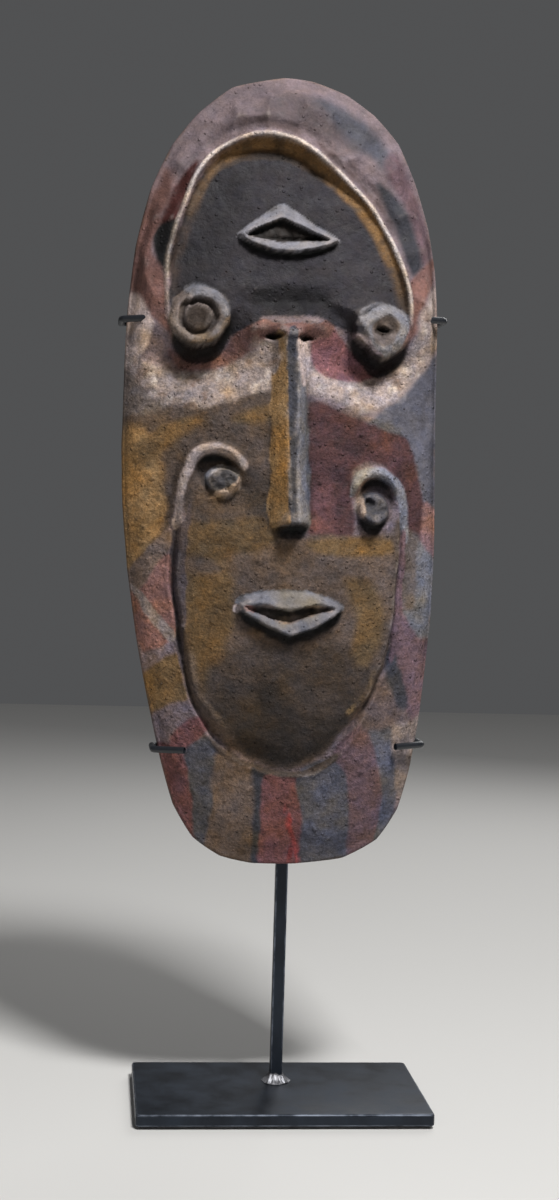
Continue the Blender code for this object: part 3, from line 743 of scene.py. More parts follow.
# %% [markdown]
# ## The cheeks
# Ochre lies over the left cheek, slate and maroon over the right one. The large fields come
# first, so that the narrow bands round the eyes can cut into them.

# %% Cheeks and edges below the brow
PAINT += [
    ("left_ochre", "umber", 0.96, 2.5, [
        (-105, 30), (-76, 36), (-58, 42), (-13, 52), (4, 54), (3, -32), (-7, -44), (-24, -46),
        (-59, -37), (-65, -9), (-69, -30), (-73, -35), (-79, -45), (-93, -60), (-99, -65),
        (-104, -48)
    ]),
    ("ochre_edge", "ochre", 1.2, 7, [
        (-105, 22), (-84, 26), (-76, 0), (-76, -30), (-84, -46), (-104, -62)
    ]),
    ("right_slate", "slate", 1.12, 3, [
        (54, 30), (69, 42), (84, 55), (106, 75), (106, -10), (88, -8), (80, 8), (76, 18), (66, 24)
    ]),
    ("right_edge", "slate", 1.08, 4, [(90, 10), (106, 30), (106, -60), (96, -40), (92, -16)]),
    ("right_maroon", "maroon", 0.86, 2.5, [
        (14, 40), (38, 39), (63, 28), (83, 20), (89, -3), (96, -30), (99, -50), (96, -63), (90, -51),
        (81, -34), (78, -13), (66, 4), (46, 0), (45, -43), (21, -43), (14, -30)
    ]),
    ("maroon_edge", "rose", 1.03, 3, [(94, -20), (106, -30), (105, -66), (97, -70), (92, -48)]),
]
print("bands so far:", len(PAINT))

# %% [markdown]
# ## Under the brow
# Thick chalk follows the hollows under the two scrolls, and a flesh red fills the corners
# between chalk and panel. Their edges are harder than those of the fields around them.

# %% Chalk and red under the brow
PAINT += [
    ("left_chalk", "chalk", 0.95, 4, [
        (-98, 76), (-82, 70), (-67, 65), (-51, 64), (-34, 68), (-19, 77), (-9, 87), (0, 84), (2, 58),
        (-10, 52), (-34, 45), (-46, 41), (-68, 44), (-84, 52), (-94, 62)
    ]),
    ("right_chalk", "chalk", 1.08, 4, [
        (103, 121), (105, 95), (104, 82), (84, 54), (69, 42), (52, 39), (33, 46), (14, 52), (12, 70),
        (20, 66), (33, 62), (52, 60), (69, 63), (84, 80), (93, 102)
    ]),
    ("left_pink", "rust", 0.95, 3, [
        (-29, 89), (-15, 97), (-5, 96), (-5, 86), (-19, 78), (-34, 69), (-51, 65), (-66, 67),
        (-71, 79), (-54, 73), (-37, 78)
    ]),
    ("right_pink", "rust", 0.95, 2.5, [
        (103, 139), (101, 124), (91, 103), (84, 82), (72, 68), (64, 66), (76, 78), (83, 95),
        (81, 115), (90, 129)
    ]),
    ("right_red", "maroon", 1.4, 2, [
        (20, 93), (28, 96), (37, 86), (47, 76), (59, 68), (66, 64), (52, 59), (35, 60), (20, 68)
    ]),
    ("brow_skin", "rust", 0.92, 2, [
        (-28, 92), (-14, 98), (26, 98), (34, 90), (24, 84), (-10, 84), (-24, 82)
    ]),
]
print("bands so far:", len(PAINT))

# %% [markdown]
# ## The left edge
# Seven narrow bands slant across the left edge, each a quick stroke from the groove outwards.

# %% Bands down the left edge
PAINT += [
    ("band_slate", "umber", 1.3, 2, [(-98, -62), (-73, -37), (-70, -47), (-90, -74), (-98, -80)]),
    ("band_rust", "rust", 1.08, 2, [
        (-98, -79), (-90, -74), (-71, -52), (-69, -102), (-76, -112), (-88, -118), (-95, -101)
    ]),
    ("band_cream", "chalk", 0.93, 1.5, [
        (-97, -72), (-90, -76), (-80, -90), (-67, -106), (-68, -112), (-83, -96)
    ]),
    ("band_slate2", "bark", 1.13, 2, [(-93, -118), (-69, -108), (-70, -118), (-84, -132), (-90, -130)]),
    ("band_ochre", "ochre", 0.95, 3, [
        (-90, -130), (-69, -115), (-64, -132), (-62, -146), (-82, -158), (-88, -144)
    ]),
    ("band_umber", "bark", 1.03, 3, [(-86, -157), (-62, -146), (-56, -157), (-66, -168), (-83, -174)]),
    ("band_red", "maroon", 1.1, 2, [
        (-70, -165), (-54, -156), (-48, -164), (-59, -178), (-63, -186), (-72, -180)
    ]),
]
print("bands so far:", len(PAINT))

# %% [markdown]
# ## Under the chin
# Below the chin the bands turn upright: red, slate and ochre stripes fan out to the edge.

# %% Stripes under the chin
PAINT += [
    ("stripe_red1", "maroon", 1.18, 2, [
        (-84, -176), (-65, -176), (-60, -194), (-55, -215), (-52, -246), (-66, -240), (-80, -208)
    ]),
    ("stripe_slate1", "slate", 0.87, 2, [
        (-63, -179), (-48, -170), (-38, -181), (-42, -207), (-46, -248), (-56, -244), (-58, -215),
        (-61, -193)
    ]),
    ("stripe_ochre", "umber", 1.12, 2.5, [
        (-42, -179), (-22, -191), (-17, -198), (-19, -224), (-16, -262), (-29, -262), (-50, -250),
        (-44, -207)
    ]),
    ("stripe_slate2", "slate", 0.7, 2, [
        (-22, -192), (-10, -194), (-12, -225), (-11, -262), (-18, -262), (-20, -224)
    ]),
    ("stripe_red2", "maroon", 1.22, 2, [
        (-12, -194), (9, -195), (12, -216), (14, -234), (11, -262), (-13, -262), (-14, -225)
    ]),
    ("stripe_slate3", "slate", 1.03, 2, [
        (9, -195), (30, -184), (42, -196), (44, -217), (45, -262), (35, -262), (12, -262),
        (13, -225)
    ]),
    ("stripe_mauve", "mauve", 0.96, 2, [
        (32, -182), (50, -163), (55, -164), (63, -190), (65, -218), (58, -250), (44, -256),
        (43, -217), (41, -196)
    ]),
    ("stripe_slate4", "slate", 1.08, 2, [
        (55, -161), (69, -155), (77, -176), (78, -192), (72, -235), (58, -250), (65, -218),
        (63, -190)
    ]),
]
print("bands so far:", len(PAINT))

# %% [markdown]
# ## The right edge
# The right edge repeats the left one in colder colours, with wider and softer bands.

# %% Bands down the right edge
PAINT += [
    ("side_ochre", "chalk", 0.9, 3, [(72, -158), (94, -156), (88, -192), (78, -214), (74, -192)]),
    ("side_olive", "chalk", 0.65, 3, [
        (79, -36), (92, -46), (91, -70), (87, -88), (78, -82), (77, -58)
    ]),
    ("side_blue", "stone", 0.91, 3, [
        (90, -46), (104, -62), (103, -96), (94, -112), (83, -97), (78, -88), (88, -84)
    ]),
    ("side_mauve", "mauve", 1.02, 3, [
        (74, -87), (81, -93), (90, -106), (98, -112), (95, -150), (84, -162), (78, -136), (71, -117),
        (72, -100)
    ]),
    ("side_slate", "slate", 0.84, 3, [(69, -113), (75, -122), (82, -152), (76, -155), (67, -134)]),
    ("side_umber", "bark", 0.9, 3, [
        (53, -144), (67, -134), (77, -152), (86, -160), (72, -164), (51, -165)
    ]),
]
print("bands so far:", len(PAINT))

# %% [markdown]
# ## The lower face
# The shield of the lower face is umber, darker towards the chin, partly as painted shade on the
# slope that faces down there. Where ochre shows through it, the brown was rubbed thin, so those
# patches have very soft edges.

# %% The lower face and its rubbed patches
PAINT += [
    ("face", "umber", 1.08, 3, [
        (-65, -33), (-59, -35), (-24, -44), (0, -42), (21, -41), (45, -41), (69, -39), (77, -44),
        (73, -79), (69, -113), (62, -136), (50, -151), (36, -170), (20, -186), (-1, -191),
        (-22, -183), (-42, -171), (-56, -151), (-64, -129), (-67, -95), (-66, -61)
    ]),
    ("face_left", "ochre", 0.82, 8, [
        (-60, -43), (-38, -49), (-35, -78), (-37, -112), (-39, -138), (-52, -138), (-61, -112),
        (-62, -78)
    ]),
    ("face_right", "umber", 1.18, 8, [(55, -44), (74, -42), (71, -70), (62, -96), (55, -79)]),
    ("face_low", "umber", 0.77, 10, [
        (-44, -118), (-20, -112), (30, -112), (54, -118), (56, -140), (36, -160), (-36, -160),
        (-50, -140)
    ]),
    # Partly painted shade: the slope under the chin faces down and is painted darker.
    ("face_dark", "umber", 0.56, 7, [
        (-39, -147), (-15, -135), (20, -137), (44, -144), (37, -167), (20, -184), (-1, -190),
        (-22, -182), (-35, -166)
    ]),
    ("gold_brow", "ochre", 0.9, 6, [
        (-84, 24), (-74, 32), (-58, 36), (-52, 31), (-64, 23), (-74, 15), (-84, 6), (-93, 2),
        (-94, 17)
    ]),
    ("gold_beside", "ochre", 0.82, 5, [(-31, 35), (-8, 43), (-7, 32), (-20, 30), (-30, 30)]),
    ("umber_brow", "umber", 1.0, 6, [
        (-52, 28), (-31, 30), (-12, 24), (-10, 14), (-23, 16), (-36, 22), (-49, 20)
    ]),
    ("grey_brow", "umber", 1.04, 5, [(-84, 38), (-66, 43), (-50, 40), (-58, 36), (-72, 34), (-84, 27)]),
    ("umber_cheek", "umber", 0.7, 6, [(-25, 1), (-8, -6), (-5, -30), (-18, -37), (-24, -21)]),
    ("gold_cheek", "ochre", 0.78, 6, [
        (-60, -33), (-38, -30), (-14, -30), (-4, -42), (-23, -52), (-54, -48)
    ]),
    ("gold_lip", "ochre", 0.9, 4, [(18, -44), (66, -42), (74, -52), (47, -54), (21, -51)]),
    ("gold_left", "ochre", 0.82, 7, [(-60, -67), (-36, -64), (-32, -96), (-50, -112), (-60, -96)]),
    ("gold_right", "ochre", 0.88, 7, [
        (40, -70), (60, -74), (66, -100), (54, -125), (44, -118), (47, -94)
    ]),
    ("umber_left", "umber", 1.0, 6, [(-62, -56), (-53, -53), (-39, -60), (-44, -64), (-60, -64)]),
    ("slate_chin", "umber", 0.66, 6, [(-44, -140), (-23, -134), (-16, -156), (-36, -162)]),
    ("gold_chin", "umber", 0.74, 7, [(2, -130), (34, -128), (41, -150), (18, -156), (2, -146)]),
    ("umber_chin", "umber", 0.83, 7, [
        (-22, -106), (10, -117), (32, -108), (30, -122), (2, -128), (-23, -120)
    ]),
    ("gold_side_l", "ochre", 1.2, 4, [
        (-102, -4), (-98, 2), (-84, -4), (-73, -18), (-78, -30), (-90, -36), (-97, -30)
    ]),
    ("gold_side_r", "umber", 1.02, 4, [
        (71, -37), (78, -31), (79, -63), (75, -96), (70, -82), (72, -56)
    ]),
    ("slate_side_r", "slate", 0.78, 3, [
        (68, -116), (74, -124), (80, -141), (84, -153), (76, -150), (70, -134)
    ]),
    ("gold_stripe", "umber", 1.2, 4, [
        (-44, -190), (-24, -189), (-19, -210), (-24, -240), (-37, -236), (-43, -216)
    ]),
    ("maroon_dark", "maroon", 0.68, 6, [(30, 21), (47, 24), (58, 16), (50, 10), (36, 14)]),
    ("maroon_red", "maroon", 0.98, 5, [(58, 30), (71, 20), (75, 6), (70, 1), (63, 14)]),
    ("maroon_low", "maroon", 1.08, 5, [(14, -18), (30, -9), (35, -24), (30, -38), (16, -37)]),
]
print("bands so far:", len(PAINT))

# %% [markdown]
# ## Grooves and panel
# Charcoal fills the sunk panel, and its lower part above the brow ledge is painted darker still,
# as painted shade. The left groove round the lower face is painted darker as shade in it, and the
# groove under the chin is a darker umber. A line as thin as a groove is still a closed shape
# here, only a narrow one.

# %% Grooves and the sunk panel
PAINT += [
    # Painted shade in the left groove of the lower face.
    ("left_groove_shade", "bark", 0.72, 1.2, [
        (-71, -28), (-65, -31), (-59, -20), (-60, -35), (-61.5, -61), (-63, -102), (-64, -130),
        (-69, -110), (-69, -102), (-70, -78)
    ]),
    ("chin_lip", "umber", 0.8, 1.2, [
        (-46, -171), (-22, -186), (-1, -191), (16, -191), (34, -181), (36, -184), (20, -194),
        (-1, -195.5), (-22, -190), (-42, -178)
    ]),
    ("panel", "charcoal", 1.07, 1.5, [
        (-70, 100), (-71, 123), (-69, 137), (-65, 153), (-59, 170), (-51, 187), (-41, 200),
        (-25, 209), (-11, 212), (4, 211), (15, 206), (29, 195), (42, 182), (56, 168), (67, 151),
        (74, 135), (80, 119), (81, 104), (76, 84), (58, 84), (46, 88), (34, 92), (24, 97), (-8, 97),
        (-20, 92), (-34, 86), (-60, 82)
    ]),
    ("panel_left", "charcoal", 0.9, 12, [
        (-64, 110), (-60, 160), (-40, 190), (-20, 196), (-30, 160), (-40, 125)
    ]),
    ("panel_right", "charcoal", 1.1, 12, [(30, 180), (60, 150), (72, 115), (40, 110), (30, 150)]),
    # Painted shade where the panel slopes down towards the brow.
    ("brow_shade", "charcoal", 0.68, 5, [
        (-15, 116), (5, 118), (25, 115), (33, 107), (25, 101), (8, 102), (-9, 102), (-19, 106)
    ]),
    ("rim_wall", "umber", 0.7, 1.4, [
        (-60, 160), (-53, 180), (-43, 194), (-36, 203), (-20, 211), (-5, 214.5), (5, 213), (17, 207),
        (31, 196), (44, 184), (59, 168), (70, 150), (77, 133), (82, 116), (83, 101), (79, 101),
        (73, 121), (66, 138), (52, 163), (37, 181), (17, 194), (-5, 200), (-28, 198), (-43, 186),
        (-52, 171)
    ]),
]
print("bands so far:", len(PAINT))

# %% [markdown]
# ## The scrolls
# The scrolls were chalked and then handled, so ring, groove and knob each have their own grey
# or brown. The top of the left ring and an arc over the left cheek's knob are painted highlights,
# and the hole in the right scroll is painted darker as shade. The shapes are small, and their
# edges are hard.

# %% The four scrolls
PAINT += [
    ("scroll_ul", "chalk", 0.65, 0.8, [
        (-72, 98), (-66, 112), (-52.6, 118), (-38, 112), (-33, 98), (-38, 85), (-52.6, 79),
        (-66, 85)
    ]),
    # Painted highlight on the top of the left ring.
    ("ring_highlight", "stone", 0.92, 1.6, [
        (-62, 116), (-52, 119), (-42, 115), (-35, 106), (-33, 97), (-37, 97), (-41, 105), (-49, 111),
        (-57, 111)
    ]),
    ("ring_brown", "ochre", 0.86, 1.6, [
        (-33, 97), (-35, 88), (-42, 80), (-52, 77), (-62, 80), (-69, 87), (-66, 90), (-59, 84),
        (-50, 82), (-42, 86), (-38, 94)
    ]),
    ("ring_pale", "chalk", 0.8, 1.4, [
        (-69, 88), (-71, 98), (-67, 106), (-64, 103), (-66, 96), (-63, 89), (-57, 85), (-60, 82)
    ]),
    ("knob_ul", "umber", 0.64, 0.8, [
        (-60, 98.5), (-58, 104), (-52.6, 106), (-47, 104), (-45, 98.5), (-47, 93), (-52.6, 91),
        (-58, 93)
    ]),
    ("scroll_ur", "stone", 0.98, 1.0, [
        (49, 100), (58, 106), (72, 106), (82, 98), (82, 88), (76, 78), (67, 73), (60, 78), (54, 88)
    ]),
    ("funnel_ur", "chalk", 0.7, 1.6, [
        (57, 89), (60, 96), (67, 99), (74, 96), (76, 90), (71, 82), (65, 80), (59, 83)
    ]),
    # Painted shade in the hole of the right scroll.
    ("hole_ur_shade", "umber", 0.65, 1.0, [(59, 89), (63, 92.5), (69, 92), (72, 89), (68, 86.5), (63, 86)]),
    ("crest_ll", "chalk", 1.08, 1.4, [
        (-69, -34), (-66, -9), (-62, 6), (-53, 17), (-41, 18.5), (-30, 14), (-22, 5), (-24, 1),
        (-31, 7), (-41, 11.5), (-51, 10), (-57, 2), (-62, -10), (-65, -32)
    ]),
    ("knob_ll", "stone", 0.85, 1.2, [
        (-49, 0), (-42, 3.5), (-33, 2.5), (-26.5, -4), (-27.5, -11), (-34, -12), (-43, -11),
        (-49.5, -7)
    ]),
    # Painted highlight along the top of the left cheek's knob.
    ("knob_ll_highlight", "stone", 1.5, 0.8, [
        (-49, -1), (-46, 3), (-39, 5), (-31, 3), (-27, -1), (-31, 0), (-39, 1.5), (-45, -1),
        (-47, -6)
    ]),
    ("knob_ll_top", "slate", 0.78, 1.0, [
        (-46, -1), (-39, 1), (-32, 0), (-29, -4), (-32, -9), (-38, -9), (-44, -8), (-47, -5)
    ]),
    ("knob_ll_rim", "chalk", 1.06, 0.8, [
        (-38, -9.5), (-31, -7), (-28, -3), (-26.5, -5), (-27.5, -11), (-33, -16), (-42, -15),
        (-44, -12)
    ]),
    ("crest_lr", "stone", 1.07, 1.4, [
        (44, -16), (46, -4), (54, 2), (61, 3), (70, 0), (78, -9), (82, -24), (82, -44), (78, -40),
        (76, -24), (72, -12), (68, -7), (61, -4), (54, -5), (50, -10)
    ]),
    ("line_lr", "mauve", 1.0, 1.0, [
        (77, -40), (81, -40), (79, -72), (77, -100), (72, -122), (69, -120), (73, -100), (75, -72)
    ]),
    ("knob_lr", "slate", 0.8, 1.2, [
        (48, -24), (51, -16), (58, -13), (66, -16), (69, -24), (66, -32), (58, -35), (51, -32)
    ]),
    ("knob_lr_rim", "chalk", 0.95, 1.0, [
        (46.5, -22), (49, -15), (52, -13), (52, -20), (51, -30), (48, -29)
    ]),
]
print("bands so far:", len(PAINT))

# %% [markdown]
# ## The nose and the lips
# The nose has one colour for each of its three planes. The lips are a plain grey, and their
# openings stay dark, the upper one partly as painted shade under its lip, with a crumb of chalk in
# the corner of the lower one.

# %% Nose and lips
PAINT += [
    ("ledge", "bark", 1.06, 0.8, [(-14, 97), (-6, 98), (24, 98), (24, 94.5), (8, 94), (-6, 94)]),
    ("flank_left", "ochre", 1.3, 1.2, [(-6, 80), (3, 80), (3.2, 0), (2.8, -33), (-9, -33), (-8, 0)]),
    ("nose_top", "slate", 0.73, 0.9, [(2.4, 84), (10, 84), (9, 20), (8.4, -34), (2.4, -34), (2.6, 20)]),
    ("flank_right", "stone", 0.94, 1.2, [
        (9.6, 78), (15, 76), (16, 20), (17, -33), (8.2, -33), (8.8, 20)
    ]),
    ("nose_chalk", "chalk", 1.33, 1.5, [(10, 83), (17, 82), (17, 58), (13, 54), (10.5, 62)]),
    ("nose_chalk2", "chalk", 0.9, 1.5, [(-9, 80), (-3, 82), (-2.5, 66), (-7, 62)]),
    ("upper_lips", "stone", 1.0, 0.7, [
        (-28.5, 150), (-24, 155), (-8, 165.5), (2.5, 171), (13, 164.5), (28, 154), (38.5, 147),
        (30, 143), (20, 140.5), (8, 139.3), (-6, 140.5), (-18, 144.5)
    ]),
    # Partly painted shade: the opening under the upper lip is painted nearly black.
    ("upper_mouth_shade", "umber", 0.42, 0.8, [
        (-22.5, 150), (-12, 154.8), (0.7, 160.2), (14, 154.4), (29.5, 146.6), (18, 145.4),
        (4, 145.2), (-12, 147.2)
    ]),
    ("lower_lips", "stone", 0.93, 0.7, [
        (-31, -84.5), (-25.3, -77.6), (-11, -75.2), (4, -75.4), (18, -76), (30, -80), (39.5, -86.5),
        (32, -92.5), (20.6, -99.8), (3.3, -104.5), (-11.4, -98.4), (-24, -91)
    ]),
    ("lower_mouth", "chalk", 0.9, 0.8, [
        (-24, -84.8), (-14, -84.2), (-4.3, -87), (4, -88.8), (13, -86.4), (22, -84.8), (32, -86.6),
        (24, -90.2), (13, -93), (3, -96.2), (-9, -93), (-19, -88.8)
    ]),
    ("mouth_crumb", "chalk", 1.38, 0.7, [(-32, -85), (-30, -83), (-28, -85), (-28, -88), (-32, -88)]),
    ("mouth_crumb2", "rust", 1.3, 0.7, [(-26, -85), (-22, -84), (-18, -87), (-20, -89), (-25, -88)]),
]
print(len(PIGMENTS), "pigments in", len(PAINT), "bands")

# %% [markdown]
# ## Laying the bands on
# The bands' edges are shaken a little, because nobody paints a clean line on gouged wood. The
# colours go into an attribute of the mesh, and the material adds grain and grit that are finer
# than the mesh. Blender's shaders work with linear colours, so every shade is converted first.

# %% Lay on the bands
def to_linear(colour):
    """A colour given from 0 to 255, as the linear values that Blender's shaders use."""
    c = np.asarray(colour, float) / 255
    return np.where(c <= 0.04045, c / 12.92, ((c + 0.055) / 1.055)**2.4)


def laid_over(colour, shade, amount):
    """The paint with another shade laid over it, by an amount from 0 to 1 at every point."""
    return colour + (to_linear(shade) - colour) * amount[:, None]


SHAKE = 1.1              # mm
shaken_u = u + SHAKE * rough(u, v, 10, 81, 3)
shaken_v = v + SHAKE * rough(u, v, 10, 91, 3)
colour = np.zeros((len(u), 3))
for _, pigment, strength, soft, corners in PAINT:
    amount = ramp(inside_by(shaken_u, shaken_v, corners), -0.6 * soft, 0.6 * soft)
    colour = laid_over(colour, np.array(PIGMENTS[pigment]) * strength, amount)
print(len(PAINT), "painted bands")

# %% [markdown]
# ## Wear, dirt and painted shade
# Hands and years rub the paint off what stands out. What lies deep is painted darker, partly as
# dirt and partly as painted shade. Both follow from the carving: the height is compared with its
# own average nearby. A positive difference is an edge that is worn pale, a negative one is a
# corner that is painted darker as dirt and shade. A painted shadow lies under ledges, where a
# higher row of the grid overhangs the rows below it.

# %% Edges, corners and overhangs
def soften(grid, steps):
    """The average over the neighbours on the grid, repeated."""
    for _ in range(steps):
        for axis in (0, 1):
            padded = np.pad(grid, [(1, 1) if a == axis else (0, 0) for a in (0, 1)], mode="edge")
            ahead = np.take(padded, range(2, padded.shape[axis]), axis=axis)
            behind = np.take(padded, range(0, padded.shape[axis] - 2), axis=axis)
            grid = (ahead + behind + 2 * grid) / 4
    return grid


AVERAGE_STEPS = 24
ROW = 2 * HALF_HEIGHT / GRID_UP    # mm between two rows of the grid
SHADE_SLOPE = 0.85                 # a ledge shades what lies below a line of this slope
heights = (EDGE_Y - y[:front_count]).reshape(GRID_UP + 1, GRID_ACROSS + 1)
standing = np.zeros(len(u))
standing[:front_count] = (heights - soften(heights, AVERAGE_STEPS)).ravel()
worn = ramp(standing, 0.9, 2.2) * np.clip(0.4 + 0.7 * rough(u, v, 6, 101, 3), 0, 1)
# Corners and recesses are painted darker, partly as dirt and partly as painted shade.
dirt_and_shade = ramp(-standing, 0.3, 2.4)
# Painted shadow under ledges, as if lit from above: the rows below a ledge are found here.
below = np.zeros_like(heights)
for rows in range(2, 8):
    over = heights[rows:] - heights[:-rows] - SHADE_SLOPE * rows * ROW
    below[:-rows] = np.maximum(below[:-rows], over)
painted_shadow = np.zeros(len(u))
painted_shadow[:front_count] = ramp(soften(below, 2), 0.2, 3.0).ravel()
print("worn:", int((worn > 0.5).sum()), "points, shadowed:", int((painted_shadow > 0.5).sum()))

# %% [markdown]
# ## Uneven paint
# Earth pigment rubbed on by hand is never one flat colour. It is thicker and thinner in
# patches, streaked by the brush, and warmer where ochre from another band was dragged across.
# The blue-grey field under the right brow stayed clean, so the warm patches are kept out of it.

# %% Patches, streaks, dirt, painted shade and painted shadow
SLATE_FIELD = [
    (52, 38), (70, 42), (85, 56), (108, 78), (108, -14), (92, -5), (88, 12), (84, 24), (72, 33),
]
patches = 0.17 * rough(u, v, 13, 111, 5)
colour = colour * (1 + patches + 0.06 * brush_marks(u, v))[:, None]
calm = ramp(inside_by(shaken_u, shaken_v, SLATE_FIELD), -3, 1)
warm = rough(u, v, 17, 131, 4) * ramp(110 - v, 0, 30)
warm = np.where(warm > 0, warm, 0.4 * warm)
warm = warm * (1 - 0.85 * calm)
colour = colour * (1 + np.stack([0.18 * warm, 0.05 * warm, -0.22 * warm], axis=1))

wall_depth = inside_by(u, v, RIM + BROW)
rim_gap, _ = line_distance(u, v, smooth_curve(RIM, 5, closed=False))
on_wall = ramp(wall_depth, 0.5, 2) * (1 - ramp(rim_gap, 6.5, 11.5)) * ramp(v, 96, 150)
on_wall = on_wall * (1 - 0.8 * ramp(-u, 20, 62))
on_wall = on_wall * np.clip(0.8 + 0.6 * rough(u, v, 7, 161, 3), 0.15, 1)
# Recesses get dirt and painted shade, ledges a painted shadow below them; the ochre wall gets neither.
colour = colour * (1 - 0.5 * dirt_and_shade * (1 - on_wall))[:, None]
colour = colour * (1 - 0.9 * painted_shadow * (1 - on_wall))[:, None]
print("paint so far from", colour.min().round(3), "to", colour.max().round(3))

# %% [markdown]
# ## Chalk, the ochre wall of the rim, its pale crest and a painted shadow
# The bands under the eyes are thick chalk, which crumbles: pale flecks stand on it and brown
# wood shows through. The wall inside the rim was rubbed with ochre, and its crest is pale, partly
# as paint worn pale from handling and partly as a painted highlight. A painted shadow lies as a
# dark line along the foot of the rim on its outer side.

# %% Flecks, wall, crest and foot of the rim
CHALK_FLECK = (206, 192, 184)
CHALK_BROWN = (104, 80, 66)
WALL_OCHRE = (116, 86, 52)
CREST_PALE = (206, 190, 180)
RIM_FOOT_SHADOW = (58, 44, 42)
RUBBED_PALE = to_linear((168, 156, 150)) * 0.85

chalky = sum(ramp(inside_by(shaken_u, shaken_v, band), -5, 5) for band in PAINT_BANDS)
# No chalk flecks lie in the painted shadow under ledges.
chalky = chalky * (1 - painted_shadow)
flecks = ramp(rough(u, v, 9, 181, 4), 0.15, 1.1) * chalky
colour = laid_over(colour, CHALK_FLECK, 0.62 * flecks)
browns = ramp(rough(u, v, 7, 191, 4), 0.3, 1.1) * chalky
colour = laid_over(colour, CHALK_BROWN, 0.6 * browns)
colour = laid_over(colour, WALL_OCHRE, 0.92 * on_wall)

# The crest is painted pale, partly as worn paint and partly as a painted highlight.
crest_gap = np.abs(rim_gap - 0.4 * np.sign(-wall_depth))
on_crest = (1 - ramp(crest_gap, 0.5, 2.0)) * np.clip(0.85 + 0.5 * rough(u, v, 7, 171, 3), 0, 1)
fainter_left = 1 - 0.62 * ramp(-u, 48, 62) * (1 - ramp(v, 165, 190))
on_crest = on_crest * ramp(v, 92, 104) * fainter_left
colour = laid_over(colour, CREST_PALE, 0.85 * on_crest)

# Painted shadow: a dark line in the groove along the outer foot of the rim.
foot = np.exp(-((rim_gap - 5.8) / 2.4)**2) * (wall_depth < 0) * ramp(u, -30, -5) * ramp(v, 140, 170)
broken = np.clip(0.8 + 0.6 * rough(u, v, 9, 221), 0, 1)
colour = laid_over(colour, RIM_FOOT_SHADOW, 0.75 * foot * broken)
colour = colour + (RUBBED_PALE - colour) * (0.35 * worn)[:, None]
print("crest on", int((on_crest > 0.5).sum()), "points")

# %% [markdown]
# ## Single strokes
# A few strokes were made with one pull of a thin brush or a finger: pale lines along the chin's
# groove, and two red streaks down the middle stripe. Each is an open curve with a soft edge
# that runs out at both ends, as a brush does when it touches down and lifts.

# %% Lines along the chin and the red streaks
STROKES = [
    ((118, 100, 86), [(-59, -112), (-57, -128), (-54, -139), (-46, -151), (-36, -161)]),
    ((122, 100, 70), [(38, -156), (48, -148), (55, -139), (60, -126)]),
    ((160, 54, 47), [(2, -212), (4, -222), (6, -232), (9, -242), (11, -250), (12, -262)]),
    ((112, 40, 38), [(4, -226), (6, -234), (6, -244), (5, -258)]),
]
for shade, stroke in STROKES:
    gap, along = line_distance(shaken_u, shaken_v, smooth_curve(stroke, 5, closed=False))
    amount = (1 - ramp(gap, 0.8, 2.6)) * ramp(along, 0, 0.2) * ramp(1 - along, 0, 0.2)
    amount = amount * np.clip(0.45 + 0.7 * rough(u, v, 6, 231, 3), 0, 1)
    colour = laid_over(colour, shade, 0.7 * amount)
colour = np.clip(colour, 0.004, 0.9)
print(len(STROKES), "strokes")

# %% [markdown]
# ## What the mesh tells the material
# The material has to know four things about each point: its paint, how bare the wood is, how
# deep in the back's hollow it lies and how gritty its paint is. They are stored as attributes,
# so the pattern stays with the wood when the mask moves.

# %% Attributes
def add_attribute(thing, name, values):
    """Stores a number or a colour for every point of the mesh."""
    if values.ndim == 1:
        layer = thing.data.attributes.new(name, "FLOAT", "POINT")
        layer.data.foreach_set("value", np.ascontiguousarray(values))
    else:
        layer = thing.data.attributes.new(name, "FLOAT_COLOR", "POINT")
        full = np.concatenate([values, np.ones((len(values), 1))], axis=1)
        layer.data.foreach_set("color", np.ascontiguousarray(full).ravel())


bare_wood = ramp(places[:, 1], 2, 14) + 0.3 * rough(u, v, 12, 151, 3)
bare_wood = np.clip(np.where(is_front, 0, bare_wood), 0, 1)
hollow = np.zeros(len(u))
hollow[back] = bowl
lips = np.maximum(inside_by(u, v, UPPER_LIPS, False), inside_by(u, v, LOWER_LIPS, False))
smooth_top = ramp(-wall_depth, 0, 6) * ramp(v, 70, 130)
grit = 1 - 0.8 * smooth_top - 0.5 * ramp(wall_depth, 0, 4) - 0.7 * calm
add_attribute(mask, "paint", colour)
add_attribute(mask, "bare", bare_wood)
add_attribute(mask, "hollow", hollow)
add_attribute(mask, "grit", grit * (1 - 0.75 * ramp(lips, -1, 0.5)))
print("paint from", colour.min().round(3), "to", colour.max().round(3))

# %% [markdown]
# ## A short way to write a finish
# Every finish here is a few layers of noise that steer the colour, the gloss and a fine bump.
# A node tree built in code needs many lines that say little, so this small class keeps a
# material with its nodes and gives each usual step one short name. All patterns are read in
# the object's own space, in metres, so they don't slide when a piece moves.

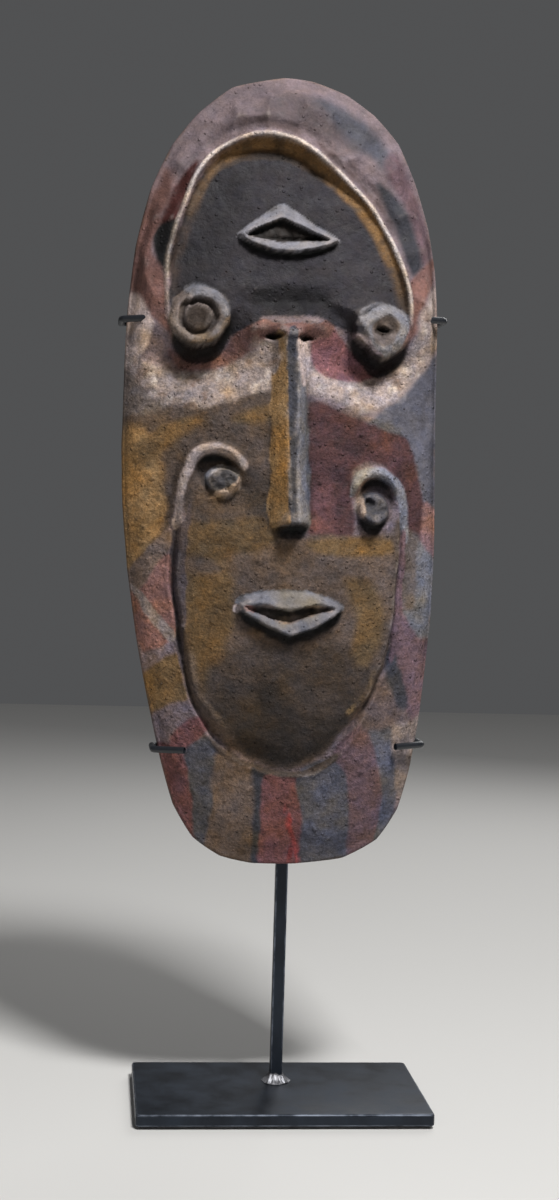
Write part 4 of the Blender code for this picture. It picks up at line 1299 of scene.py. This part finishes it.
# %% The Finish class
class Finish:
    """A material that is being built, with short ways to add nodes to it."""

    def __init__(self, name, roughness, metallic=0.0):
        self.material = bpy.data.materials.new(name)
        self.material.use_nodes = True
        self.nodes = self.material.node_tree.nodes
        self.shader = self.nodes["Principled BSDF"]
        self.give("Roughness", roughness)
        self.give("Metallic", metallic)
        self.where = self.nodes.new("ShaderNodeTexCoord").outputs["Object"]

    def plug(self, socket, value):
        """Links another node's output to a socket, or sets the socket to a value."""
        if isinstance(value, bpy.types.NodeSocket):
            self.material.node_tree.links.new(value, socket)
        elif isinstance(value, tuple) and socket.type == "RGBA":
            socket.default_value = (*value, 1)
        else:
            socket.default_value = value

    def give(self, socket, value):
        """Plugs a value into the shader itself."""
        self.plug(self.shader.inputs[socket], value)

    def add(self, kind, output, plugs, **settings):
        """Adds a node with its settings and plugs, and returns one of its outputs."""
        node = self.nodes.new("ShaderNode" + kind)
        for key, setting in settings.items():
            setattr(node, key, setting)
        for socket, value in plugs.items():
            self.plug(node.inputs[socket], value)
        return node.outputs[output]

    def noise(self, scale, detail=4, stretch=(1, 1, 1)):
        """Noise that can be drawn out along an axis."""
        moved = self.add("Mapping", "Vector", {"Vector": self.where, "Scale": stretch})
        plugs = {"Vector": moved, "Scale": scale, "Detail": detail, "Roughness": 0.62}
        return self.add("TexNoise", "Fac", plugs)

    def attribute(self, name, output="Fac"):
        return self.add("Attribute", output, {}, attribute_name=name)

    def plus(self, a, b):
        return self.add("Math", "Value", {0: a, 1: b}, operation="ADD")

    def minus(self, a, b):
        return self.add("Math", "Value", {0: a, 1: b}, operation="SUBTRACT")

    def times(self, a, b):
        return self.add("Math", "Value", {0: a, 1: b}, operation="MULTIPLY")

    def spread(self, value, low, high, to_low=0.0, to_high=1.0):
        """Stretches the range from low to high to another range, and clips it there."""
        plugs = {"Value": value, "From Min": low, "From Max": high}
        plugs.update({"To Min": to_low, "To Max": to_high})
        return self.add("MapRange", "Result", plugs)

    def mix(self, factor, a, b, blend="MIX"):
        plugs = {"Factor": factor, "A": a, "B": b}
        return self.add("Mix", "Result", plugs, data_type="RGBA", blend_type=blend)

    def scaled(self, colour, by):
        """A colour times a number from a node, or times a colour that may be over 1."""
        if isinstance(by, tuple):
            return self.add("VectorMath", "Vector", {0: colour, 1: by}, operation="MULTIPLY")
        return self.add("VectorMath", "Vector", {0: colour, "Scale": by}, operation="SCALE")

    def specks(self, scale, size, share, shift):
        """Round specks: cells of a Voronoi pattern, of which only a share carries a speck."""
        moved = self.add("Mapping", "Vector", {"Vector": self.where, "Location": (shift,) * 3})
        distance = self.add("TexVoronoi", "Distance", {"Vector": moved, "Scale": scale})
        dot = self.spread(distance, size, size * 0.45)
        cell = self.add("SeparateColor", "Red", {"Color": distance.node.outputs["Color"]})
        chosen = self.add("Math", "Value", {0: cell, 1: share}, operation="LESS_THAN")
        return self.times(dot, chosen)

    def bump(self, height, strength, distance):
        plugs = {"Height": height, "Strength": strength, "Distance": distance}
        self.give("Normal", self.add("Bump", "Normal", plugs))


print("finishes can be written")

# %% [markdown]
# ## Painted wood
# The back and sides are bare, dark wood with an upright grain, smoked in places. As painted
# shade, the wood is darker down in the hollow and lighter on the sides and the back's flat
# border. The front is the paint from the bands, broken up at three scales: clouds of an inch or
# less, brush drags, and single grains. Pits are dark dots, crumbs are raised ones.

# %% Bare wood
wood_finish = Finish("painted_wood", 0.72)
wood_finish.give("Specular IOR Level", 0.22)
grain = wood_finish.noise(55, 6, (6, 6, 0.5))
light_wood = (0.17, 0.11, 0.07)
dark_wood = (0.055, 0.032, 0.020)
smoked_wood = (0.035, 0.026, 0.022)
wood = wood_finish.mix(wood_finish.spread(grain, 0.35, 0.68), dark_wood, light_wood)
smoke = wood_finish.noise(14, 5)
wood = wood_finish.mix(wood_finish.spread(smoke, 0.4, 0.62, 0, 0.75), wood, smoked_wood)
# Painted shade: darker deep in the back's hollow, lighter on the sides and the flat border.
hollow_shade = wood_finish.spread(wood_finish.attribute("hollow"), 0.1, 0.75, 1.5, 0.72)
wood = wood_finish.scaled(wood, hollow_shade)
print("bare wood:", len(wood_finish.nodes), "nodes")

# %% [markdown]
# Over the wood comes the paint from the bands. It is made lighter and darker in clouds and
# drags, warmer and colder in patches, and it is chipped: small flakes are pale, pits are dark.

# %% Paint over it
COOL_TINT = (0.92, 0.98, 1.07)
WARM_TINT = (1.10, 1.03, 0.88)
NO_TINT = (1.0, 1.0, 1.0)
PIT = (0.02, 0.012, 0.009)
FLAKE = (2.3, 2.2, 2.1)
mottle = wood_finish.noise(120, 8)
fine = wood_finish.noise(620, 5)
drag = wood_finish.noise(260, 6, (0.8, 1, 1.2))
amount = wood_finish.spread(wood_finish.attribute("grit"), 0, 1, 0.3, 1.0)
coarse_value = wood_finish.spread(mottle, 0.3, 0.7, 0.78, 1.22)
fine_value = wood_finish.plus(wood_finish.spread(fine, 0.35, 0.65, -0.30, 0.30),
                              wood_finish.spread(drag, 0.3, 0.7, -0.18, 0.18))
value = wood_finish.plus(coarse_value, wood_finish.times(fine_value, amount))
pigment = wood_finish.scaled(wood_finish.attribute("paint", "Color"), value)
hue = wood_finish.spread(wood_finish.noise(95, 4), 0.34, 0.66)
tint = wood_finish.mix(amount, NO_TINT, wood_finish.mix(hue, COOL_TINT, WARM_TINT))
pigment = wood_finish.mix(1.0, pigment, tint, "MULTIPLY")
pits = wood_finish.specks(330, 0.28, 0.05, 0.0)
pigment = wood_finish.mix(wood_finish.times(pits, 0.6), pigment, PIT)
flakes = wood_finish.spread(wood_finish.noise(340, 6), 0.60, 0.72, 0, 0.55)
flakes = wood_finish.times(flakes, amount)
pigment = wood_finish.mix(flakes, pigment, wood_finish.scaled(pigment, FLAKE))
wood_finish.give("Base Color", wood_finish.mix(wood_finish.attribute("bare"), pigment, wood))
print("with paint:", len(wood_finish.nodes), "nodes")

# %% [markdown]
# The same patterns lift and sink the surface by fractions of a millimetre. That is too fine
# for the mesh, so it is a bump, and the bare wood gets only the coarse part of it.

# %% Its fine relief and gloss
crumbs = wood_finish.specks(260, 0.30, 0.18, 0.37)
relief = wood_finish.plus(wood_finish.times(fine, 0.7), wood_finish.times(drag, 0.7))
relief = wood_finish.plus(relief, wood_finish.times(crumbs, 1.1))
relief = wood_finish.minus(relief, wood_finish.times(pits, 0.8))
relief = wood_finish.times(relief, amount)
relief = wood_finish.plus(relief, wood_finish.times(mottle, 0.8))
wood_finish.bump(relief, 0.9, 1.4 * MM)
wood_finish.give("Roughness", wood_finish.spread(mottle, 0.35, 0.65, 0.55, 0.85))
mask.data.materials.append(wood_finish.material)
print("painted_wood:", len(wood_finish.nodes), "nodes")

# %% [markdown]
# ## The stand's finishes
# A display stand is plain blacksmith's work: a plate sawn from flat bar with its edges eased, a
# square tube welded upright on it, and all of it blackened and waxed. The black is not even:
# it is smeared on the faces and rubbed through on the edges, which are paler still as a painted
# highlight. Sleeves are soft plastic, welds are grey and scaly, and felt is a mat of short fibres
# that glows a little at its edges.

# %% Blackened steel, and worn steel with a painted highlight
def black_steel():
    steel = Finish("black_steel", 0.42, 0.55)
    smear = steel.noise(38, 6, (1, 1, 0.4))
    fine = steel.noise(600, 4)
    thin = steel.spread(smear, 0.35, 0.7)
    steel.give("Base Color", steel.mix(thin, (0.009, 0.012, 0.018), (0.024, 0.033, 0.048)))
    steel.give("Roughness", steel.spread(smear, 0.3, 0.7, 0.34, 0.56))
    steel.bump(steel.plus(steel.times(fine, 0.4), smear), 0.25, 0.4 * MM)
    return steel.material


def edge_wear_and_highlight():
    """The same steel where an edge has rubbed bare, paler still as a painted highlight."""
    steel = Finish("edge_wear_and_highlight", 0.36, 0.8)
    patches = steel.spread(steel.noise(90, 5), 0.38, 0.62)
    # Painted highlight: the bare colour is paler than rubbed steel alone.
    steel.give("Base Color", steel.mix(patches, (0.030, 0.036, 0.048), (0.15, 0.17, 0.21)))
    return steel.material


STEEL = black_steel()
EDGE_WEAR_AND_HIGHLIGHT = edge_wear_and_highlight()
print("steel finishes:", STEEL.name, EDGE_WEAR_AND_HIGHLIGHT.name)


# %% [markdown]
# The other three finishes are simpler: a smooth black plastic, a scaly grey weld whose gloss
# changes with its colour, and felt with a little sheen from its fibres.

# %% Sleeve, weld and felt
def shrink_sleeve():
    plastic = Finish("shrink_sleeve", 0.36)
    tone = plastic.noise(420, 4)
    plastic.give("Base Color", plastic.mix(tone, (0.006, 0.007, 0.009), (0.016, 0.018, 0.023)))
    plastic.bump(tone, 0.3, 0.3 * MM)
    return plastic.material


def bare_weld():
    weld = Finish("bare_weld", 0.45, 0.55)
    scale = weld.noise(210, 5)
    grey = weld.mix(weld.spread(scale, 0.35, 0.65), (0.045, 0.045, 0.052), (0.33, 0.33, 0.35))
    weld.give("Base Color", grey)
    weld.give("Roughness", weld.spread(scale, 0.3, 0.7, 0.28, 0.5))
    weld.bump(weld.noise(900, 4), 0.4, 0.4 * MM)
    return weld.material


def grey_felt():
    felt = Finish("grey_felt", 0.95)
    fibres = felt.noise(1500, 5, (1, 0.35, 1))
    clouds = felt.noise(260, 4)
    tone = felt.plus(felt.times(fibres, 0.6), felt.times(clouds, 0.4))
    light = felt.spread(tone, 0.35, 0.65)
    felt.give("Base Color", felt.mix(light, (0.035, 0.035, 0.038), (0.11, 0.11, 0.115)))
    felt.give("Sheen Weight", 0.4)
    felt.bump(tone, 0.8, 0.6 * MM)
    return felt.material


SLEEVE = shrink_sleeve()
WELD = bare_weld()
FELT = grey_felt()
print("other finishes:", SLEEVE.name, WELD.name, FELT.name)

# %% [markdown]
# ## Small steps that every metal piece needs
# Each piece starts as a box of the size that the frame gives, and small bevels catch the light
# where a file broke the sharp edges. Edges are picked by how they run, upright or level, so the
# same few functions serve the plate, the post, the collar and the bar.

# %% Helpers for the stand's pieces
def claim(thing, node, body):
    """Hides the frame's piece that this one stands for, and attaches this one to its body."""
    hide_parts(node)
    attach(thing, body)


def wear(thing, *finishes):
    """Puts the finishes on a piece, in order of their slots."""
    thing.data.materials.clear()
    for finish in finishes:
        thing.data.materials.append(finish)


def make_active(thing):
    nothing_selected()
    thing.select_set(True)
    bpy.context.view_layer.objects.active = thing


def box_piece(name, low, high):
    """A cube set to a box, with the size in the mesh."""
    nothing_selected()
    bpy.ops.mesh.primitive_cube_add(size=1, location=(0, 0, 0))
    thing = bpy.context.object
    thing.name = name
    low, high = Vector(low), Vector(high)
    size = high - low
    middle = (high + low) / 2
    for vertex in thing.data.vertices:
        vertex.co = Vector([vertex.co[k] * size[k] + middle[k] for k in range(3)])
    return thing


def upright(a, b):
    return abs(a.z - b.z) > 0.9 * (a - b).length


def level(a, b):
    return abs(a.z - b.z) < 1e-6


def bevel_where(thing, chosen, width, segments, slot=-1):
    """Bevels the edges for which chosen(a, b) is true; the new faces can get another slot."""
    bpy.ops.object.mode_set(mode="EDIT")
    bpy.ops.mesh.select_mode(type="EDGE")
    bpy.ops.mesh.select_all(action="DESELECT")
    bpy.ops.object.mode_set(mode="OBJECT")
    points = thing.data.vertices
    for edge in thing.data.edges:
        a, b = (points[k].co for k in edge.vertices)
        edge.select = bool(chosen(a, b))
    bpy.ops.object.mode_set(mode="EDIT")
    bpy.ops.mesh.bevel(offset=width, segments=segments, material=slot)
    bpy.ops.object.mode_set(mode="OBJECT")


def give_wall(thing, thickness):
    """Thickens an open shell inwards."""
    wall = thing.modifiers.new("wall", "SOLIDIFY")
    wall.thickness = thickness
    wall.offset = -1
    bpy.ops.object.modifier_apply(modifier="wall")


def smooth_to(thing, degrees):
    make_active(thing)
    bpy.ops.object.shade_smooth_by_angle(angle=math.radians(degrees))


print("helpers ready")

# %% [markdown]
# ## The plate and the felt under it
# The plate is a short length of thick flat bar. Its corners are rounded a little, and its long
# edges are broken with a file, which leaves a bright line: steel rubbed through the black, paler
# still as a painted highlight.
# A sheet of felt keeps it from scratching the shelf.

# %% Base plate and felt
low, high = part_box("base_plate")
plate = box_piece("steel_plate", low, high)
wear(plate, STEEL, EDGE_WEAR_AND_HIGHLIGHT)
bevel_where(plate, upright, 3.0 * MM, 5)
# The long edges get the worn finish, which carries a painted highlight.
bevel_where(plate, level, 1.3 * MM, 3, slot=1)
smooth_to(plate, 30)
claim(plate, "base_plate", "stand")
print("plate up to", [round(x, 3) for x in high])

low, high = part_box("base_felt")
felt = box_piece("felt_sheet", low, high)
wear(felt, FELT)
bevel_where(felt, upright, 2.5 * MM, 4)
bevel_where(felt, level, 0.5 * MM, 2)
smooth_to(felt, 40)
claim(felt, "base_felt", "stand")

# %% [markdown]
# ## The post and what slides in it
# The post is a thin square tube. The spine of the mask's bracket drops into it and rests on a
# short collar of the same tube, so the mask lifts off without tools. The tube is a box without
# ends whose walls are thickened inwards, as the real one is folded from sheet and welded.

# %% Post, collar and spine
TUBE_WALL = 1.2 * MM
TUBE_CORNER = 0.9 * MM


def square_tube(name, low, high):
    thing = box_piece(name, low, high)
    bpy.ops.object.mode_set(mode="EDIT")
    bpy.ops.mesh.select_mode(type="FACE")
    bpy.ops.mesh.select_all(action="DESELECT")
    bpy.ops.object.mode_set(mode="OBJECT")
    for face in thing.data.polygons:
        face.select = abs(face.normal.z) > 0.9
    bpy.ops.object.mode_set(mode="EDIT")
    bpy.ops.mesh.delete(type="FACE")
    bpy.ops.object.mode_set(mode="OBJECT")
    wear(thing, STEEL, EDGE_WEAR_AND_HIGHLIGHT)
    bevel_where(thing, upright, TUBE_CORNER, 4, slot=1)
    give_wall(thing, TUBE_WALL)
    smooth_to(thing, 35)
    return thing


claim(square_tube("square_post", *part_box("post")), "post", "stand")
claim(square_tube("collar", *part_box("stop_collar")), "stop_collar", "bracket")
low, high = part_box("spine")
spine_top = (low.z + high.z) / 2
spine = box_piece("square_bar", low, high)
wear(spine, STEEL, EDGE_WEAR_AND_HIGHLIGHT)
bevel_where(spine, upright, 0.5 * MM, 3, slot=1)
bevel_where(spine, lambda a, b: level(a, b) and a.z > spine_top, 0.6 * MM, 2, slot=1)
smooth_to(spine, 35)
claim(spine, "spine", "bracket")
print("spine", round((high.z - low.z) / MM), "mm long")

# %% [markdown]
# ## Weld beads
# A weld is a row of puddles that froze one after the other, each lapping over the last. The
# bead round the post's foot is a ring that is extruded upwards row by row, and then bent into
# a quarter round that leans on plate and post. Its height swells and dips in short waves.

# %% A ring of rows for the foot bead
AROUND = 160
UP = 14
nothing_selected()
bpy.ops.mesh.primitive_cylinder_add(vertices=AROUND, radius=1, depth=1, end_fill_type="NOTHING")
foot_bead = bpy.context.object
foot_bead.name = "foot_bead"
bpy.ops.object.mode_set(mode="EDIT")
bpy.ops.mesh.select_all(action="SELECT")
bpy.ops.mesh.delete(type="ONLY_FACE")
bpy.ops.mesh.select_all(action="DESELECT")
bpy.ops.object.mode_set(mode="OBJECT")
for vertex in foot_bead.data.vertices:
    vertex.select = vertex.co.z > 0
bpy.ops.object.mode_set(mode="EDIT")
bpy.ops.mesh.delete(type="VERT")
bpy.ops.mesh.select_all(action="SELECT")
for _ in range(UP):
    bpy.ops.mesh.extrude_edges_move(TRANSFORM_OT_translate={"value": (0, 0, 1)})
bpy.ops.object.mode_set(mode="OBJECT")
print("ring:", len(foot_bead.data.vertices), "points")

# %% [markdown]
# Each row of the ring now gets its place on the quarter round: the first lies on the plate and
# the last against the post. The waves are strongest halfway, where the puddles bulge most.

# %% Bend the rows into a bead
BEAD_REACH = 5.5 * MM
BEAD_RISE = 5.6 * MM
low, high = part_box("foot_weld")
post_low, post_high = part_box("post")
centre = (post_low + post_high) / 2
half_post = (post_high.x - post_low.x) / 2 + 0.1 * MM
raw = read_places(foot_bead.data)
turn = np.arctan2(raw[:, 1], raw[:, 0])
row = np.round(raw[:, 2] - raw[:, 2].min()) / UP
arc = row * math.pi / 2
puddle = np.abs(np.sin(turn * 13 + 0.6 * np.sin(turn * 3) + 1.2 * row))
laps = np.cos(4 * (turn - math.pi / 4)), np.cos(11 * turn + 2.6 * np.sin(3 * turn))
ridges = 0.5 + 0.5 * laps[0] + 0.5 * laps[1]
swell = 1 + (0.08 * puddle + 0.13 * ridges) * np.sin(arc * 2)
uneven = 1 + 0.10 * np.sin(3 * turn + 1) + 0.06 * np.sin(7 * turn)
square = half_post / np.maximum(np.abs(np.cos(turn)), np.abs(np.sin(turn)))
out = (1 - np.sin(arc))**0.8 * (BEAD_REACH * uneven) * swell
edge = square * np.sin(arc)**0.5 + half_post * (1 - np.sin(arc)**0.5)
rise = (1 - np.cos(arc))**0.8 * BEAD_RISE * uneven * swell
x = centre.x + (edge + out) * np.cos(turn)
y = centre.y + (edge + out) * np.sin(turn)
write_places(foot_bead.data, np.stack([x, y, low.z + rise], axis=1))
make_active(foot_bead)
bpy.ops.object.mode_set(mode="EDIT")
bpy.ops.mesh.select_all(action="SELECT")
bpy.ops.mesh.normals_make_consistent(inside=False)
bpy.ops.object.mode_set(mode="OBJECT")
bpy.ops.object.shade_smooth()
wear(foot_bead, WELD)
claim(foot_bead, "foot_weld", "stand")
print("foot weld:", len(foot_bead.data.polygons), "faces")


# %% [markdown]
# The arms are held by two short beads each, one over and one under. A bead is a ball pulled
# towards a box, so that it fills its corner, with waves along it.

# %% Short beads between arms and spine
def bead(name, node, shift):
    """A lumpy sausage in the corner between an arm and the spine."""
    low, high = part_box(node)
    nothing_selected()
    bpy.ops.mesh.primitive_uv_sphere_add(segments=28, ring_count=20, radius=0.5)
    thing = bpy.context.object
    thing.name = name
    local = read_places(thing.data) * 2
    waves = 1 + 0.10 * np.abs(np.sin(local[:, 0] * 6 + shift)) + 0.03 * np.sin(local[:, 2] * 5 + shift)
    size = np.array(high - low) / 2
    middle = np.array(high + low) / 2
    boxy = np.sign(local) * np.abs(local)**0.75
    boxy = boxy / np.maximum(np.abs(boxy).max(axis=0), 1e-6)
    shaped = boxy * waves[:, None] / waves.max()
    write_places(thing.data, middle + shaped * size)
    bpy.ops.object.shade_smooth()
    wear(thing, WELD)
    claim(thing, node, "bracket")


ARM_WELDS = ("upper_weld_over", "upper_weld_under", "lower_weld_over", "lower_weld_under")
for number, node in enumerate(ARM_WELDS):
    bead(node.replace("weld", "bead"), node, number * 1.7)
print(len(ARM_WELDS), "short beads")

# %% [markdown]
# ## The arms
# Each arm is one round rod, bent cold around a pin at every corner, so its bends are round and
# even. It runs across the back, turns forward beside the mask's edge and hooks over its front.
# Its path is worked out from the mask's own outline, because a stand maker bends it to fit.

# %% Sizes of the arms and where the edge is
ARM_Y = 9.3              # mm, the rods' distance behind the middle of the base
ROD_RADIUS = 1.5
SLEEVE_WALL = 0.4
SLEEVE_RADIUS = ROD_RADIUS + 0.3 + SLEEVE_WALL
CLEARANCE = 1.0          # mm, between a sleeve and the wood
BACK_BEND = 5.0          # mm, radius of the bend behind the edge
HOOK_BEND = 4.0          # mm, radius of the bend in front of it
ARMS = {"upper": (0.386, 12, 12), "lower": (-0.696, 16, 15)}   # height share, left and right hold


def edge_at(v, side):
    """Where the outline lies at a height v, on the left (-1) or the right (1)."""
    curve = OUTLINE_CURVE * (HALF_WIDTH, HALF_HEIGHT)
    ahead = np.roll(curve, -1, axis=0)
    crossing = ((curve[:, 1] > v) != (ahead[:, 1] > v)) & (curve[:, 0] * side > 0)
    k = int(np.nonzero(crossing)[0][0])
    t = (v - curve[k, 1]) / (ahead[k, 1] - curve[k, 1])
    return float(curve[k, 0] + t * (ahead[k, 0] - curve[k, 0]))


for level_name, (share, _, _) in ARMS.items():
    edges = [round(edge_at(share * HALF_HEIGHT, side), 1) for side in (-1, 1)]
    print(level_name, "arm, the mask's edges at", edges)


# %% [markdown]
# A bend is an arc that touches both straight runs, so its middle lies on the line that halves
# the corner. The hook lies along the slope of the mask's front and keeps a small clearance.

# %% The path of half an arm
def rounded(before, corner, after, radius, steps=10):
    """Points of the arc that rounds a corner."""
    to_before = (before - corner).normalized()
    to_after = (after - corner).normalized()
    half_angle = to_before.angle(to_after) / 2
    start = corner + to_before * radius / math.tan(half_angle)
    middle = corner + (to_before + to_after).normalized() * radius / math.sin(half_angle)
    first = start - middle
    sweep = math.pi - 2 * half_angle
    if first.x * to_before.y - first.y * to_before.x < 0:
        sweep = -sweep
    turned = []
    for k in range(steps + 1):
        a = -sweep * k / steps
        x = first.x * math.cos(a) - first.y * math.sin(a)
        y = first.x * math.sin(a) + first.y * math.cos(a)
        turned.append(middle + Vector((x, y)))
    return turned


def half_arm(v, side, hold):
    """The bend behind the mask's edge, then the hook over its front, as (u, y) points."""
    edge = edge_at(v, side)
    outer = edge + side * (CLEARANCE + SLEEVE_RADIUS)
    slope = 2 * DOME / abs(edge)
    front_y = EDGE_Y - (CLEARANCE + SLEEVE_RADIUS) * math.hypot(1, slope)
    corner = Vector((outer, ARM_Y))
    front = Vector((outer, front_y + slope * abs(outer - edge)))
    tip = Vector((edge - side * hold, front_y - slope * hold))
    middle = Vector((-MIDDLE_U, ARM_Y))
    bend = rounded(middle, corner, front, BACK_BEND)
    hook = rounded(corner, front, tip, HOOK_BEND)
    return bend, hook + [tip]


print("a bend has", len(rounded(Vector((0, 0)), Vector((9, 0)), Vector((9, 9)), BACK_BEND)), "points")


# %% [markdown]
# ## Rods and sleeves from their paths
# A curve with a round section is the way the rod itself was made: one length of stock that
# follows a path. The same path, a little fatter and thickened inwards, is the black
# heat-shrink sleeve over each hook, which keeps the steel from marking the paint.

# %% Rods and sleeves
def drawn_rod(name, points, v, radius, wall=None):
    """A path with a round section, turned into a mesh; a wall makes it a tube."""
    data = bpy.data.curves.new(name, "CURVE")
    data.dimensions = "3D"
    data.bevel_depth = radius * MM
    data.bevel_resolution = 6
    data.use_fill_caps = wall is None
    line = data.splines.new("POLY")
    line.points.add(len(points) - 1)
    for point, (x, y) in zip(line.points, points):
        point.co = (*to_world(x, y, v), 1)
    thing = bpy.data.objects.new(name, data)
    bpy.context.collection.objects.link(thing)
    make_active(thing)
    bpy.ops.object.convert(target="MESH")
    thing = bpy.context.object
    if wall is not None:
        give_wall(thing, wall * MM)
    smooth_to(thing, 40)
    return thing


SLEEVE_OVERHANG = 0.6    # mm, how far a sleeve reaches past the end of its rod
for level_name, (share, hold_left, hold_right) in ARMS.items():
    v_arm = share * HALF_HEIGHT
    left_bend, left_hook = half_arm(v_arm, -1, hold_left)
    right_bend, right_hook = half_arm(v_arm, 1, hold_right)
    whole = left_hook[::-1] + left_bend[::-1] + right_bend + right_hook
    rod = drawn_rod(level_name + "_rod", whole, v_arm, ROD_RADIUS)
    wear(rod, STEEL)
    claim(rod, level_name + "_arm", "bracket")
    for side, bend, hook in (("_left", left_bend, left_hook), ("_right", right_bend, right_hook)):
        beyond = hook[-1] + (hook[-1] - hook[-2]).normalized() * SLEEVE_OVERHANG
        path = [bend[-1]] + hook[:-1] + [beyond]
        tube = drawn_rod(level_name + side + "_tube", path, v_arm, SLEEVE_RADIUS, SLEEVE_WALL)
        wear(tube, SLEEVE)
        claim(tube, level_name + side + "_sleeve", "bracket")
print("arms and sleeves drawn")

# %% [markdown]
# ## Felt pads
# A rod would dent the wood, so a small felt pad sits between each arm and the back's flat
# border. The pads are cut square from sheet and lean with the mask.

# %% Felt pads behind the mask
PAD_HALF_U = 5.0 * MM
PAD_HALF_V = 3.5 * MM
PADS = ("upper_left_pad", "upper_right_pad", "lower_left_pad", "lower_right_pad")
for node in PADS:
    low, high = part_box(node)
    half_y = (high - low).y / 2
    corner = Vector((PAD_HALF_U, half_y, PAD_HALF_V))
    pad = box_piece(node.replace("pad", "felt"), -corner, corner)
    lean = Matrix.Rotation(-TILT, 4, "Y")
    pad.data.transform(Matrix.Translation((low + high) / 2) @ lean)
    wear(pad, FELT)
    bevel_where(pad, lambda a, b: True, 0.35 * MM, 3)
    smooth_to(pad, 60)
    claim(pad, node, "bracket")
print(len(PADS), "pads")

# %% [markdown]
# ## The camera
# The mask is seen from the front at the height of its middle, a little from the left and from
# a metre away, so its sides are just seen to narrow. The camera is turned, lowered and rolled
# by small angles, and its axes are built from them directly.

# %% Camera
CAMERA_PLACE = (-0.1289, -1.2089, 0.3653)
TURNED = math.radians(-5.71)
LOWERED = math.radians(1.557)
ROLLED = math.radians(1.67)
camera_data = bpy.data.cameras.new("camera")
camera_data.lens = 55.5
camera_data.sensor_width = 36
camera = bpy.data.objects.new("camera", camera_data)
bpy.context.collection.objects.link(camera)
flat_way = Vector((-math.sin(TURNED), math.cos(TURNED), 0))
ahead = flat_way * math.cos(LOWERED) - Vector((0, 0, math.sin(LOWERED)))
level_right = Vector((math.cos(TURNED), math.sin(TURNED), 0))
level_up = level_right.cross(ahead)
right = math.cos(ROLLED) * level_right + math.sin(ROLLED) * level_up
up = -math.sin(ROLLED) * level_right + math.cos(ROLLED) * level_up
facing = Matrix((right, up, -ahead)).transposed().to_4x4()
camera.matrix_world = Matrix.Translation(CAMERA_PLACE) @ facing
bpy.context.scene.camera = camera
print("camera looks along", [round(x, 3) for x in ahead])

# %% [markdown]
# ## Floor and lights
# A plain pale floor and a dim even room keep the eye on the mask. One small, high lamp close
# to the front rakes down over the relief, so every ledge throws a shadow below it. A weak
# lamp lifts those shadows a little, and one behind lights the back in other views.

# %% Floor and room
bpy.context.scene.view_settings.view_transform = "Standard"
nothing_selected()
bpy.ops.mesh.primitive_plane_add(size=6, location=(0, 0, 0))
floor = bpy.context.object
floor.name = "floor"
pale = Finish("pale_floor", 0.9)
pale.give("Base Color", (0.62, 0.61, 0.59))
wear(floor, pale.material)
room = bpy.data.worlds.new("soft_room")
room.use_nodes = True
background = room.node_tree.nodes["Background"]
background.inputs["Color"].default_value = (0.75, 0.76, 0.78, 1)
background.inputs["Strength"].default_value = 0.11
bpy.context.scene.world = room
print("floor and room set")


# %% [markdown]
# The lamps are soft squares of light. The key lamp is the smallest, because a smaller lamp
# makes the relief's shadows crisper.

# %% Lamps
def area_light(name, place, target, size, power):
    data = bpy.data.lights.new(name, "AREA")
    data.size = size
    data.energy = power
    lamp = bpy.data.objects.new(name, data)
    bpy.context.collection.objects.link(lamp)
    lamp.location = place
    lamp.rotation_euler = (Vector(target) - Vector(place)).to_track_quat("-Z", "Y").to_euler()


area_light("key", (0.32, -0.95, 1.70), (0, 0, 0.42), 0.32, 41)
area_light("fill", (-0.9, -1.6, 0.9), (0, 0, 0.4), 1.2, 1.5)
area_light("back", (0.7, 1.3, 1.2), (0, 0, 0.4), 1.0, 9)
print("three lamps")
